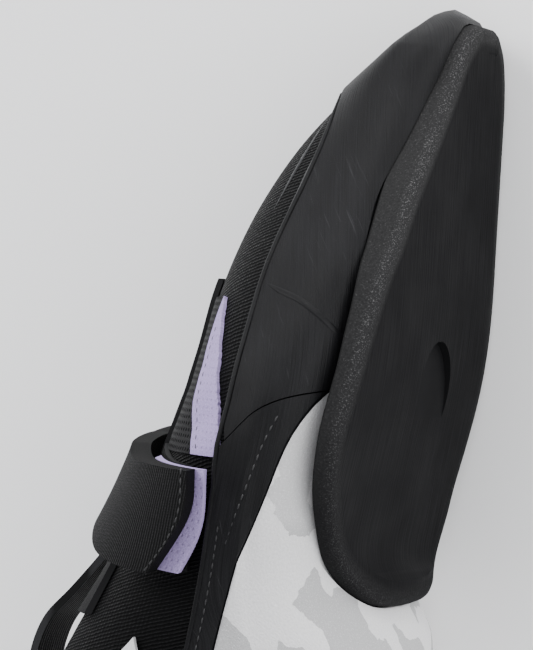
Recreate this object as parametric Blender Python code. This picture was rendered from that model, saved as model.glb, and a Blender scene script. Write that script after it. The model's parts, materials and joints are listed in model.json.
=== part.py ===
"""Climbing shoe for a right foot, lying on its inner side.

The shoe is modelled standing: toe tip at y = 0, heel towards -y, outer side at +x, forefoot sole on
z = 0. One function, form_point, gives the outer form of the upper; every other piece is cut between
two larger or smaller forms from it. At the end all pieces hang on one empty, turned so that the
shoe lies on its inner side.
"""
import math

import bmesh
import bpy
import numpy as np
from mathutils import Matrix, Vector

# Driving sizes, metres
SHOE_LENGTH = 0.240
BALL_WIDTH = 0.080
INSTEP_HEIGHT = 0.090
HEEL_DROP = 0.004
ARCH_LIFT = 0.010

# Thicknesses, metres
UPPER_WALL = 0.0018
SOLE_THICKNESS = 0.0043
SOLE_EDGE = 0.0090
RAND = 0.0016
PANEL = 0.0011
INSOLE = 0.0020
INSOLE_PLAY = 0.0009
TONGUE = 0.0026
TONGUE_PLAY = 0.0006
BINDING = 0.0012
STRAP = 0.0040
STRAP_TAB = 0.0014
LOOP_PATCH = 0.0009
WEBBING = 0.0016

# Other named sizes, metres
SOLE_LENGTH = 0.1254
SOLE_HOLE_MARGIN = 0.012
NARROWEST = 0.002
BINDING_WIDTH = 0.0055
LOOP_WIDTH = 0.014
OUTER_SIDE_START = 0.0031
RECESS_LENGTH = 0.0216
RECESS_WIDTH = 0.0190
RECESS_DEPTH = 0.0008
RECESS_ALONG = 0.080
RECESS_ACROSS = -0.0060
GAP = 0.0003

# How finely the form is divided
POINTS_ROUND = 24
LONG_STEP = 0.013
BORDER_STEPS = 2
SOLE_SQUARENESS = 3.2

# The form's sections, toe to heel. Lengths are shares: along of SHOE_LENGTH; inner, outer and ridge
# of BALL_WIDTH; bottom of ARCH_LIFT; widest and top of INSTEP_HEIGHT, both above the form's floor.
# fullness is the roundness of the upper half: 2 is an ellipse, less is a leaner slope.
SECTION_COLUMNS = ("along", "inner", "outer", "ridge", "bottom", "widest", "top", "fullness")
SECTIONS = (
    (0.0000, -0.375, -0.265, -0.315, 0.30, 0.042, 0.056, 2.0),
    (0.0040, -0.415, -0.225, -0.310, 0.10, 0.050, 0.068, 2.0),
    (0.0150, -0.450, -0.148, -0.300, 0.00, 0.060, 0.080, 2.0),
    (0.0360, -0.470, -0.040, -0.280, 0.00, 0.080, 0.135, 2.0),
    (0.0750, -0.476, 0.030, -0.250, 0.00, 0.105, 0.250, 2.0),
    (0.1250, -0.476, 0.145, -0.205, 0.00, 0.130, 0.356, 1.9),
    (0.1870, -0.474, 0.290, -0.155, 0.00, 0.145, 0.438, 1.8),
    (0.2500, -0.472, 0.440, -0.120, 0.00, 0.155, 0.480, 1.8),
    (0.3120, -0.468, 0.545, -0.090, 0.08, 0.160, 0.500, 1.8),
    (0.3750, -0.464, 0.575, -0.065, 0.28, 0.185, 0.542, 1.8),
    (0.4370, -0.466, 0.552, -0.050, 0.50, 0.225, 0.605, 1.8),
    (0.5000, -0.480, 0.500, -0.035, 0.62, 0.260, 0.695, 1.85),
    (0.5620, -0.498, 0.465, -0.025, -0.10, 0.300, 0.800, 1.9),
    (0.6250, -0.505, 0.440, -0.010, -0.35, 0.335, 0.875, 2.1),
    (0.7000, -0.495, 0.425, 0.000, -0.45, 0.345, 0.915, 2.2),
    (0.7830, -0.450, 0.412, 0.000, -0.60, 0.335, 0.920, 2.2),
    (0.8580, -0.410, 0.392, 0.000, -0.75, 0.320, 0.905, 2.2),
    (0.9170, -0.350, 0.346, 0.000, -0.60, 0.285, 0.875, 2.2),
    (0.9620, -0.252, 0.256, 0.006, 0.05, 0.300, 0.820, 2.2),
    (0.9870, -0.145, 0.156, 0.010, 0.85, 0.310, 0.710, 2.1),
    (0.9980, -0.065, 0.080, 0.010, 1.70, 0.310, 0.510, 2.0),
    (1.0000, -0.030, 0.044, 0.008, 2.20, 0.310, 0.400, 2.0),
)
LAST_ROW = len(SECTIONS) - 1
INNER_FORM_START = 2.0
INNER_FORM_END = LAST_ROW - 1.5
LINING_START = 4.0
LINING_END = LAST_ROW - 3.0
TONGUE_CORE_INSET = 0.5
SOLE_FLAT_FROM = 2

# The sole's outline, toe to arch: along as a share of SOLE_LENGTH, inner and outer of BALL_WIDTH.
SOLE_OUTLINE = (
    (0.008, -0.378, -0.270),
    (0.020, -0.420, -0.210),
    (0.060, -0.470, -0.125),
    (0.130, -0.496, -0.035),
    (0.215, -0.499, 0.080),
    (0.300, -0.499, 0.200),
    (0.390, -0.499, 0.310),
    (0.455, -0.499, 0.400),
    (0.560, -0.498, 0.495),
    (0.670, -0.484, 0.553),
    (0.740, -0.460, 0.556),
    (0.820, -0.428, 0.505),
    (0.910, -0.398, 0.370),
    (0.965, -0.350, 0.230),
    (0.992, -0.260, 0.110),
    (1.000, -0.120, 0.010),
)

# Height of the sole's side above its underside: along as a share of SOLE_LENGTH, height of SOLE_EDGE.
SOLE_SIDE = ((0.00, 0.95), (0.13, 0.90), (0.26, 0.88), (0.39, 0.76), (0.50, 0.60), (0.60, 0.52), (1.00, 0.50))

# Borders seen from the side: along is a share of SHOE_LENGTH, height of INSTEP_HEIGHT above the
# form's floor.
RAND_TOP = (
    (0.030, 0.340), (0.055, 0.262), (0.075, 0.215), (0.110, 0.197), (0.155, 0.203), (0.200, 0.220),
    (0.250, 0.233), (0.345, 0.245), (0.395, 0.258), (0.430, 0.264), (0.520, 0.314), (0.625, 0.385),
    (0.750, 0.455), (0.875, 0.510), (1.030, 0.560),
)
PANEL_TOP = (
    (0.270, -0.140), (0.300, -0.030), (0.365, 0.090), (0.430, 0.165), (0.520, 0.250), (0.625, 0.315),
    (0.750, 0.370), (0.875, 0.420), (1.030, 0.460),
)
TOE_RAND_END = ((0.300, -0.200), (0.325, 0.000), (0.345, 0.150), (0.385, 0.270), (0.410, 0.400))
HEEL_CUP_FRONT = ((0.745, -0.300), (0.770, 0.000), (0.800, 0.250), (0.830, 0.520))
HEEL_CUP_GAP = 0.0005
QUARTER_PANEL = (
    (0.556, 0.510), (0.590, 0.590), (0.640, 0.640), (0.700, 0.635), (0.780, 0.620), (0.850, 0.635),
    (0.900, 0.660), (0.905, 0.610), (0.840, 0.585), (0.740, 0.545), (0.640, 0.500), (0.590, 0.480),
)
COLLAR = (
    (0.545, 1.150), (0.560, 0.920), (0.585, 0.790), (0.640, 0.700), (0.720, 0.668), (0.800, 0.672),
    (0.870, 0.700), (0.930, 0.735), (0.970, 0.750), (1.060, 0.760),
)

# The throat seen from above: across is a share of BALL_WIDTH.
THROAT_COLUMNS = ("along", "inner", "outer")
THROAT = (
    (0.245, 0.030, 0.065),
    (0.265, -0.030, 0.090),
    (0.310, -0.130, 0.115),
    (0.375, -0.195, 0.150),
    (0.460, -0.225, 0.185),
    (0.560, -0.250, 0.215),
    (0.640, -0.270, 0.240),
)
THROAT_FLOOR = 0.300
TONGUE_REACH = 0.075
TONGUE_ENDS = (0.232, 0.632)
BINDING_TIP = 0.008
BINDING_END = 0.545

# The strap seen from above, inner side to outer side: across as a share of BALL_WIDTH, front and
# back as shares of SHOE_LENGTH.
STRAP_BAND = (
    (-0.560, 0.360, 0.425),
    (-0.250, 0.366, 0.430),
    (0.000, 0.376, 0.440),
    (0.250, 0.392, 0.466),
    (0.420, 0.402, 0.488),
    (0.600, 0.407, 0.500),
    (0.750, 0.410, 0.505),
)
STRAP_ROOT = -0.010
STRAP_MIDDLE = -0.200
STRAP_INNER_END = 0.480

# Where the strap, its tab and the patch end on the outer side, seen from the side as borders are.
STRAP_END = ((0.300, 0.275), (0.400, 0.282), (0.445, 0.292), (0.498, 0.395), (0.560, 0.520))
TAB_END = ((0.300, 0.258), (0.400, 0.264), (0.455, 0.274), (0.505, 0.352), (0.560, 0.450))
TAB_HIDDEN_END = 0.640
LOOP_PATCH_END = ((0.300, 0.330), (0.430, 0.335), (0.560, 0.350))
LOOP_PATCH_HIDDEN_END = 0.600

# The pull loop's run seen from the side, above the form's floor as borders are.
PULL_LOOP = (
    (0.484, 0.705), (0.500, 0.735), (0.529, 0.800), (0.554, 0.860), (0.580, 0.890), (0.603, 0.896),
    (0.617, 0.876), (0.618, 0.848),
)

COLOURS = {
    "upper": ((0.010, 0.010, 0.011), 0.75),
    "insole": ((0.05, 0.05, 0.055), 0.85),
    "outsole": ((0.022, 0.022, 0.024), 0.55),
    "toe_rand": ((0.018, 0.018, 0.020), 0.45),
    "side_band": ((0.014, 0.014, 0.015), 0.50),
    "arch_panel": ((0.62, 0.62, 0.62), 0.80),
    "quarter_panel": ((0.60, 0.60, 0.60), 0.80),
    "heel_cup": ((0.018, 0.018, 0.020), 0.50),
    "tongue": ((0.010, 0.010, 0.011), 0.85),
    "throat_binding": ((0.40, 0.33, 0.55), 0.65),
    "strap": ((0.012, 0.012, 0.013), 0.70),
    "strap_tab": ((0.44, 0.36, 0.58), 0.65),
    "loop_patch": ((0.010, 0.010, 0.011), 0.95),
    "tongue_loop": ((0.012, 0.012, 0.013), 0.75),
}

FORM_FLOOR = SOLE_THICKNESS + GAP
TAB_PROUD = GAP + max(BINDING, RAND) + GAP
STRAP_PROUD = TAB_PROUD + STRAP_TAB + GAP


# Curves and tables
def curve_through(rows, t):
    """Catmull-Rom value of every column at row number t."""
    last = len(rows) - 1
    i = min(int(max(t, 0.0)), last - 1)
    f = t - i
    p1 = np.array(rows[i], float)
    p2 = np.array(rows[i + 1], float)
    p0 = np.array(rows[i - 1], float) if i > 0 else 2 * p1 - p2
    p3 = np.array(rows[i + 2], float) if i + 2 <= last else 2 * p2 - p1
    a = 2 * p1
    b = p2 - p0
    c = 2 * p0 - 5 * p1 + 4 * p2 - p3
    d = -p0 + 3 * p1 - 3 * p2 + p3
    return 0.5 * (a + b * f + c * f * f + d * f ** 3)


def smooth_rows(rows, steps=BORDER_STEPS):
    """The rows with more rows between them, on a smooth curve."""
    count = (len(rows) - 1) * steps
    return [curve_through(rows, k / steps) for k in range(count + 1)]


def side_point(along, height):
    """(y, z) of a border's row."""
    return (-along * SHOE_LENGTH, FORM_FLOOR + height * INSTEP_HEIGHT)


def side_border(rows, steps=BORDER_STEPS):
    return [side_point(along, height) for along, height in smooth_rows(rows, steps)]


def column(rows, columns, name):
    """One named column of a table."""
    place = columns.index(name)
    return [row[place] for row in rows]


def row_value(rows, columns, name, along):
    """One column read at a share along, straight between rows."""
    return float(np.interp(along, column(rows, columns, "along"), column(rows, columns, name)))


# The form
def section(t):
    """Sizes of the section at row number t, in metres."""
    shares = dict(zip(SECTION_COLUMNS, curve_through(SECTIONS, t)))
    return {
        "y": -shares["along"] * SHOE_LENGTH,
        "inner": shares["inner"] * BALL_WIDTH,
        "outer": shares["outer"] * BALL_WIDTH,
        "ridge": shares["ridge"] * BALL_WIDTH,
        "bottom": FORM_FLOOR + shares["bottom"] * (ARCH_LIFT if shares["bottom"] > 0 else HEEL_DROP),
        "widest": FORM_FLOOR + shares["widest"] * INSTEP_HEIGHT,
        "top": FORM_FLOOR + shares["top"] * INSTEP_HEIGHT,
        "fullness": shares["fullness"],
    }


def signed_power(value, power):
    return math.copysign(abs(value) ** power, value)


def form_point_bare(t, angle):
    """Point of the form: angle 0 is under the foot, a quarter turn is the outer side."""
    sizes = section(t)
    rise = -math.cos(angle)
    swing = math.sin(angle)
    side = sizes["outer"] if swing >= 0 else sizes["inner"]
    if rise < 0:
        power = 2 / SOLE_SQUARENESS
        middle = (sizes["inner"] + sizes["outer"]) / 2
        height = sizes["widest"] - sizes["bottom"]
    else:
        power = 2 / sizes["fullness"]
        middle = sizes["ridge"]
        height = sizes["top"] - sizes["widest"]
    x = middle + (side - middle) * abs(swing) ** power
    z = sizes["widest"] + height * signed_power(rise, power)
    return Vector((x, sizes["y"], z))


def form_normal(t, angle):
    """Outward normal of the form, from its slopes along and round it."""
    step_t = 0.04
    step_angle = 0.02
    low = max(t - step_t, 0.0)
    high = min(t + step_t, LAST_ROW)
    along = form_point_bare(high, angle) - form_point_bare(low, angle)
    around = form_point_bare(t, angle + step_angle) - form_point_bare(t, angle - step_angle)
    return along.cross(around).normalized() * -1


def form_point(t, angle, proud=0.0):
    return form_point_bare(t, angle) + form_normal(t, angle) * proud


def form_stations(start, end):
    """Row numbers of the rings: every row, and more where rows lie far apart."""
    stations = [start]
    t = start
    while t < end - 1e-6:
        following = min(math.floor(t + 1e-6) + 1, end)
        length = abs(section(following)["y"] - section(t)["y"])
        parts = max(1, round(length / LONG_STEP))
        stations += [t + (following - t) * (k + 1) / parts for k in range(parts)]
        t = following
    return stations


# Meshes
def new_object(name, vertices, faces):
    mesh = bpy.data.meshes.new(name)
    mesh.from_pydata([tuple(v) for v in vertices], [], faces)
    mesh.validate()
    shape = bmesh.new()
    shape.from_mesh(mesh)
    bmesh.ops.recalc_face_normals(shape, faces=shape.faces)
    shape.to_mesh(mesh)
    shape.free()
    obj = bpy.data.objects.new(name, mesh)
    bpy.context.scene.collection.objects.link(obj)
    return obj


def form(proud, start=0.0, end=float(LAST_ROW)):
    """Closed solid of the form, larger or smaller by proud."""
    vertices = []
    stations = form_stations(start, end)
    for t in stations:
        for k in range(POINTS_ROUND):
            vertices.append(form_point(t, 2 * math.pi * k / POINTS_ROUND, proud))
    faces = []
    for ring in range(len(stations) - 1):
        for k in range(POINTS_ROUND):
            a = ring * POINTS_ROUND + k
            b = ring * POINTS_ROUND + (k + 1) % POINTS_ROUND
            faces.append((a, b, b + POINTS_ROUND, a + POINTS_ROUND))
    for ring, stretch in ((0, 1.0), (len(stations) - 1, -1.0)):
        rim = [ring * POINTS_ROUND + k for k in range(POINTS_ROUND)]
        centre = sum((vertices[i] for i in rim), Vector()) / POINTS_ROUND
        centre.y += stretch * proud * 0.5
        vertices.append(centre)
        pole = len(vertices) - 1
        faces += [(rim[k], rim[(k + 1) % POINTS_ROUND], pole) for k in range(POINTS_ROUND)]
    return new_object("form", vertices, faces)


def prism(outline, axis, low, high):
    """Outline of (a, b) pairs pushed along an axis: the pairs are the two other axes in order."""
    count = len(outline)
    vertices = []
    for level in (low, high):
        for a, b in outline:
            place = [a, b]
            place.insert("xyz".index(axis), level)
            vertices.append(place)
    faces = [tuple(range(count)), tuple(range(count, 2 * count))]
    for k in range(count):
        following = (k + 1) % count
        faces.append((k, following, following + count, k + count))
    return new_object("prism", vertices, faces)


def slab(outline, low, high):
    """Plan outline between two heights that may change along y: low and high are functions."""
    count = len(outline)
    vertices = [(x, y, low(y)) for x, y in outline] + [(x, y, high(y)) for x, y in outline]
    rows = count // 2
    faces = []
    for k in range(rows - 1):
        far = count - 1 - k
        faces.append((k, k + 1, far - 1, far))
        faces.append((k + count, k + 1 + count, far - 1 + count, far + count))
    for k in range(count):
        following = (k + 1) % count
        faces.append((k, following, following + count, k + count))
    return new_object("slab", vertices, faces)


def boolean(target, cutter, operation):
    """Cut the target's mesh. The exact solver leaves open seams on these thin shells."""
    modifier = target.modifiers.new("cut", "BOOLEAN")
    modifier.operation = operation
    modifier.object = cutter
    modifier.solver = "MANIFOLD"
    depsgraph = bpy.context.evaluated_depsgraph_get()
    result = bpy.data.meshes.new_from_object(target.evaluated_get(depsgraph))
    target.modifiers.remove(modifier)
    old = target.data
    target.data = result
    bpy.data.meshes.remove(old)
    bpy.data.objects.remove(cutter)
    return target


def shell(inner, outer):
    """Hollow between two sizes of the form."""
    return boolean(form(outer), form(inner), "DIFFERENCE")


def tidy(obj, name):
    """Name the finished piece, cut it into triangles and give it its own material."""
    shape = bmesh.new()
    shape.from_mesh(obj.data)
    bmesh.ops.triangulate(shape, faces=shape.faces)
    shape.to_mesh(obj.data)
    shape.free()
    obj.name = name
    obj.data.name = name
    obj.data.materials.clear()
    obj.data.materials.append(plain_material(name))
    obj.data.shade_smooth()
    obj.data.set_sharp_from_angle(angle=math.radians(40))
    return obj


def plain_material(name):
    colour, roughness = COLOURS[name]
    material = bpy.data.materials.new(name)
    material.use_nodes = True
    shader = material.node_tree.nodes["Principled BSDF"]
    shader.inputs["Base Color"].default_value = (*colour, 1.0)
    shader.inputs["Roughness"].default_value = roughness
    shader.inputs["Metallic"].default_value = 0.0
    return material


# Outlines shared by more than one piece
FAR = 0.5


def sole_lift(y):
    """Height of the sole's underside at y."""
    rows = SECTIONS[SOLE_FLAT_FROM:]
    shares = column(rows, SECTION_COLUMNS, "along")
    lifts = [share * ARCH_LIFT for share in column(rows, SECTION_COLUMNS, "bottom")]
    return float(np.interp(-y / SHOE_LENGTH, shares, lifts))


def sole_side(y):
    """Height of the top of the sole's side at y."""
    shares = [row[0] for row in SOLE_SIDE]
    heights = [row[1] * SOLE_EDGE for row in SOLE_SIDE]
    return sole_lift(y) + float(np.interp(-y / SOLE_LENGTH, shares, heights))


def sole_outline(margin):
    """Plan outline of the sole, grown by margin: inner side toe to arch, then back."""
    rows = smooth_rows(SOLE_OUTLINE)
    middle = 0.5 * SOLE_LENGTH
    inner = []
    outer = []
    for along, left, right in rows:
        if (right - left) * BALL_WIDTH + 2 * margin < NARROWEST:
            continue
        y = -along * SOLE_LENGTH
        stretch = 1 + margin / middle
        y = -middle + (y + middle) * stretch
        inner.append((left * BALL_WIDTH - margin, y))
        outer.append((right * BALL_WIDTH + margin, y))
    return inner + outer[::-1]


def sole_prism(margin, low, high):
    return prism(sole_outline(margin), "z", low, high)


def throat_outline(margin, first, last):
    """Plan outline of the throat between two shares along, grown sideways by margin."""
    shares = [row[0] for row in THROAT if first < row[0] < last]
    shares = [first] + shares + [last]
    left = []
    right = []
    for along in shares:
        y = -along * SHOE_LENGTH
        left.append((row_value(THROAT, THROAT_COLUMNS, "inner", along) * BALL_WIDTH - margin, y))
        right.append((row_value(THROAT, THROAT_COLUMNS, "outer", along) * BALL_WIDTH + margin, y))
    return left + right[::-1]


def throat_prism(margin, first, last):
    floor = FORM_FLOOR + THROAT_FLOOR * INSTEP_HEIGHT
    return prism(throat_outline(margin, first, last), "z", floor, FAR)


def collar_prism():
    border = side_border(COLLAR)
    back = border[-1][0]
    front = border[0][0]
    return prism(border + [(back, FAR), (front, FAR)], "x", -FAR, FAR)


def side_region(lower, upper):
    """Prism between two borders that both run toe to heel, seen from the side."""
    return prism(list(lower) + list(upper)[::-1], "x", -FAR, FAR)


def cut_below(piece, border, start, end):
    """Take away what lies below a side border, between two places across."""
    room = prism(border + [(border[-1][0], -FAR), (border[0][0], -FAR)], "x", start, end)
    return boolean(piece, room, "DIFFERENCE")


def shifted(border, rise):
    return [(y, z + rise) for y, z in border]


# Pieces
def make_upper():
    upper = boolean(form(0.0), form(-UPPER_WALL, INNER_FORM_START, INNER_FORM_END), "DIFFERENCE")
    boolean(upper, collar_prism(), "DIFFERENCE")
    boolean(upper, throat_prism(0.0, THROAT[0][0], THROAT[-1][0]), "DIFFERENCE")
    reach = FORM_FLOOR + ARCH_LIFT + UPPER_WALL
    boolean(upper, sole_prism(-SOLE_HOLE_MARGIN, -SOLE_THICKNESS, reach), "DIFFERENCE")
    return tidy(upper, "upper")


def make_insole():
    inset = UPPER_WALL + INSOLE_PLAY
    board = form(-inset, LINING_START, LINING_END)
    rows = [curve_through(SECTIONS, t) for t in form_stations(LINING_START, LINING_END)]
    top = []
    for row in rows:
        lift = row[4] * (ARCH_LIFT if row[4] > 0 else HEEL_DROP)
        top.append((-row[0] * SHOE_LENGTH, FORM_FLOOR + lift + inset + INSOLE))
    region = prism(top + [(top[-1][0], -FAR), (top[0][0], -FAR)], "x", -FAR, FAR)
    return tidy(boolean(board, region, "INTERSECT"), "insole")


def make_outsole():
    outline = sole_outline(0.0)
    sole = slab(outline, sole_lift, sole_side)
    boolean(sole, form(GAP), "DIFFERENCE")
    recess = []
    for k in range(POINTS_ROUND):
        angle = 2 * math.pi * k / POINTS_ROUND
        recess.append((RECESS_ACROSS + RECESS_WIDTH / 2 * math.cos(angle),
                       -RECESS_ALONG + RECESS_LENGTH / 2 * math.sin(angle)))
    floor = sole_lift(-RECESS_ALONG) + RECESS_DEPTH
    boolean(sole, prism(recess, "z", -FAR, floor), "DIFFERENCE")
    return tidy(sole, "outsole")


def clear_of_sole(piece):
    """Take away the room of the sole, with the gap that touching pieces keep."""
    room = slab(sole_outline(GAP), lambda y: -FAR, lambda y: sole_side(y) + GAP)
    return boolean(piece, room, "DIFFERENCE")


def line_at(line, z):
    """y of a climbing border at height z."""
    return float(np.interp(z, [point[1] for point in line], [point[0] for point in line]))


def rand_room():
    """Region of the toe rand seen from the side."""
    end = side_border(TOE_RAND_END)
    top = [point for point in side_border(RAND_TOP) if point[0] > line_at(end, point[1])]
    crossing = [point for point in end if point[1] < top[-1][1]]
    return [(FAR, -FAR), (FAR, top[0][1])] + top + crossing[::-1] + [(end[0][0], -FAR)]


def make_toe_rand():
    piece = boolean(shell(GAP, GAP + RAND), prism(rand_room(), "x", -FAR, FAR), "INTERSECT")
    cut_below(piece, side_border(PANEL_TOP), -FAR, FAR)
    return tidy(clear_of_sole(piece), "toe_rand")


def make_side_band():
    low = side_border(PANEL_TOP)
    high = [point for point in side_border(RAND_TOP) if point[0] < low[0][0]]
    piece = boolean(shell(GAP, GAP + RAND), side_region(low, high), "INTERSECT")
    joint = [(y - GAP, z) for y, z in side_border(TOE_RAND_END)]
    ahead = [(FAR, -FAR), (FAR, FAR), (joint[-1][0], FAR)] + joint[::-1] + [(joint[0][0], -FAR)]
    boolean(piece, prism(ahead, "x", -FAR, FAR), "DIFFERENCE")
    return tidy(clear_of_sole(piece), "side_band")


def make_arch_panel():
    end = side_border(HEEL_CUP_FRONT)
    roof = [point for point in shifted(side_border(PANEL_TOP), -GAP) if point[0] > end[-1][0]]
    end = [point for point in end if point[1] < roof[-1][1]]
    outline = [(roof[0][0], -FAR)] + roof + end[::-1] + [(end[0][0], -FAR)]
    piece = boolean(shell(GAP, GAP + PANEL), prism(outline, "x", -FAR, FAR), "INTERSECT")
    return tidy(clear_of_sole(piece), "arch_panel")


def make_heel_cup():
    start = [(y - HEEL_CUP_GAP, z) for y, z in side_border(HEEL_CUP_FRONT)]
    roof = [point for point in shifted(side_border(PANEL_TOP), -GAP) if point[0] < start[-1][0]]
    start = [point for point in start if point[1] < roof[0][1]]
    outline = [(start[0][0], -FAR)] + start + roof + [(roof[-1][0], -FAR)]
    piece = boolean(shell(GAP, GAP + RAND), prism(outline, "x", -FAR, FAR), "INTERSECT")
    return tidy(piece, "heel_cup")


def make_quarter_panel():
    border = side_border(QUARTER_PANEL)
    piece = boolean(shell(GAP, GAP + PANEL), prism(border, "x", 0.0, FAR), "INTERSECT")
    return tidy(piece, "quarter_panel")


def make_tongue():
    depth = UPPER_WALL + TONGUE_PLAY
    body = boolean(form(-depth, LINING_START, LINING_END),
                   form(-depth - TONGUE, LINING_START + TONGUE_CORE_INSET, LINING_END - TONGUE_CORE_INSET),
                   "DIFFERENCE")
    reach = TONGUE_REACH * BALL_WIDTH
    boolean(body, throat_prism(reach, *TONGUE_ENDS), "INTERSECT")
    return tidy(body, "tongue")


def make_throat_binding():
    first = THROAT[0][0]
    strip = boolean(shell(GAP, GAP + BINDING), throat_prism(BINDING_WIDTH, first, BINDING_END), "INTERSECT")
    boolean(strip, throat_prism(0.0, first + BINDING_TIP, 2 * BINDING_END), "DIFFERENCE")
    return tidy(strip, "throat_binding")


def strap_outline(first, last):
    rows = [row for row in smooth_rows(STRAP_BAND) if first <= row[0] <= last]
    front = [(row[0] * BALL_WIDTH, -row[1] * SHOE_LENGTH) for row in rows]
    back = [(row[0] * BALL_WIDTH, -row[2] * SHOE_LENGTH) for row in rows]
    return front + back[::-1]


def make_strap():
    """Padded strap: it rests on the throat's edge on the inner side and on its tab on the outer."""
    strap = shell(TAB_PROUD, STRAP_PROUD + STRAP)
    right_half = prism([(STRAP_ROOT, -FAR), (FAR, -FAR), (FAR, FAR), (STRAP_ROOT, FAR)], "y", -FAR, FAR)
    boolean(strap, boolean(form(STRAP_PROUD), right_half, "INTERSECT"), "DIFFERENCE")
    boolean(strap, prism(strap_outline(-1.0, 1.0), "z", -FAR, FAR), "INTERSECT")
    inner_end = FORM_FLOOR + STRAP_INNER_END * INSTEP_HEIGHT
    cut_below(strap, [(FAR, inner_end), (-FAR, inner_end)], -FAR, OUTER_SIDE_START)
    return tidy(cut_below(strap, side_border(STRAP_END), OUTER_SIDE_START, FAR), "strap")


def outer_side_only(piece, rows, high_share):
    """Keep what lies on the outer side between a side border and a height."""
    border = side_border(rows)
    high = FORM_FLOOR + high_share * INSTEP_HEIGHT
    room = prism(border + [(border[-1][0], high), (border[0][0], high)], "x", OUTER_SIDE_START, FAR)
    return boolean(piece, room, "INTERSECT")


def make_strap_tab():
    strip = shell(TAB_PROUD, TAB_PROUD + STRAP_TAB)
    boolean(strip, prism(strap_outline(STRAP_MIDDLE, 1.0), "z", -FAR, FAR), "INTERSECT")
    return tidy(outer_side_only(strip, TAB_END, TAB_HIDDEN_END), "strap_tab")


def make_loop_patch():
    strip = shell(GAP, GAP + LOOP_PATCH)
    boolean(strip, prism(strap_outline(STRAP_MIDDLE, 1.0), "z", -FAR, FAR), "INTERSECT")
    boolean(strip, throat_prism(BINDING_WIDTH + GAP, THROAT[0][0], THROAT[-1][0]), "DIFFERENCE")
    return tidy(outer_side_only(strip, LOOP_PATCH_END, LOOP_PATCH_HIDDEN_END), "loop_patch")


def make_tongue_loop():
    run = side_border(PULL_LOOP)
    count = len(run)
    sides = []
    for k, (y, z) in enumerate(run):
        before = Vector(run[max(k - 1, 0)])
        after = Vector(run[min(k + 1, count - 1)])
        way = (after - before).normalized()
        sides.append((y - way.y * WEBBING, z + way.x * WEBBING))
    loop = prism(run + sides[::-1], "x", -LOOP_WIDTH / 2, LOOP_WIDTH / 2)
    return tidy(loop, "tongue_loop")


MAKERS = (
    make_upper, make_insole, make_outsole, make_toe_rand, make_side_band, make_arch_panel,
    make_quarter_panel, make_heel_cup, make_tongue, make_throat_binding, make_strap, make_strap_tab,
    make_loop_patch, make_tongue_loop,
)


# Lying on the inner side
def centre_of_mass(pieces):
    """Volume centre of all pieces together."""
    total = 0.0
    moment = Vector()
    for piece in pieces:
        mesh = piece.data
        mesh.calc_loop_triangles()
        for triangle in mesh.loop_triangles:
            a, b, c = (mesh.vertices[i].co for i in triangle.vertices)
            volume = a.dot(b.cross(c)) / 6
            total += volume
            moment += (a + b + c) / 4 * volume
    return moment / total


def resting_normal(pieces):
    """Outward normal of the hull face on the inner side that lies under the centre of mass."""
    hull = bmesh.new()
    for piece in pieces:
        for vertex in piece.data.vertices:
            hull.verts.new(vertex.co)
    bmesh.ops.convex_hull(hull, input=hull.verts)
    centre = centre_of_mass(pieces)
    best = None
    for face in hull.faces:
        normal = face.normal
        reach = normal.dot(face.calc_center_median() - centre)
        foot = centre + normal * reach
        inside = all(
            normal.cross(loop.link_loop_next.vert.co - loop.vert.co).dot(foot - loop.vert.co) >= 0
            for loop in face.loops
        )
        if inside and (best is None or normal.x < best.x):
            best = normal.copy()
    hull.free()
    return best


def lay_down(pieces):
    """Hang the pieces on one empty and turn it so that they rest on z = 0, toe towards +y."""
    normal = resting_normal(pieces)
    up = -normal
    toe = Vector((0.0, 1.0, 0.0))
    toe = (toe - up * toe.dot(up)).normalized()
    turn = Matrix((toe.cross(up), toe, up))
    points = [turn @ vertex.co for piece in pieces for vertex in piece.data.vertices]
    low = Vector([min(p[k] for p in points) for k in range(3)])
    high = Vector([max(p[k] for p in points) for k in range(3)])
    place = Vector((-(low.x + high.x) / 2, -(low.y + high.y) / 2, -low.z))
    holder = bpy.data.objects.new("shoe_axis", None)
    bpy.context.scene.collection.objects.link(holder)
    holder.matrix_world = Matrix.Translation(place) @ turn.to_4x4()
    for piece in pieces:
        piece.parent = holder


def main():
    for obj in list(bpy.data.objects):
        bpy.data.objects.remove(obj)
    lay_down([maker() for maker in MAKERS])


if __name__ == "__main__":
    main()
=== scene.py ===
# %% [markdown]
# # A climbing shoe on its inner side
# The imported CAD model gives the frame: every piece here is made in the same metres. Fourteen of them
# replace its plain solids, and the rest are lips, facings and stitches too thin for a solid. The real
# shoe is knitted cloth glued under rubber, so nearly all of it is thin layers over one foot-like
# form. The lesson therefore builds one smooth form and cuts every layer from it.

# %% Load the frame
import json
import math

import bmesh
import bpy
import numpy as np
from mathutils import Matrix, Vector

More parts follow.
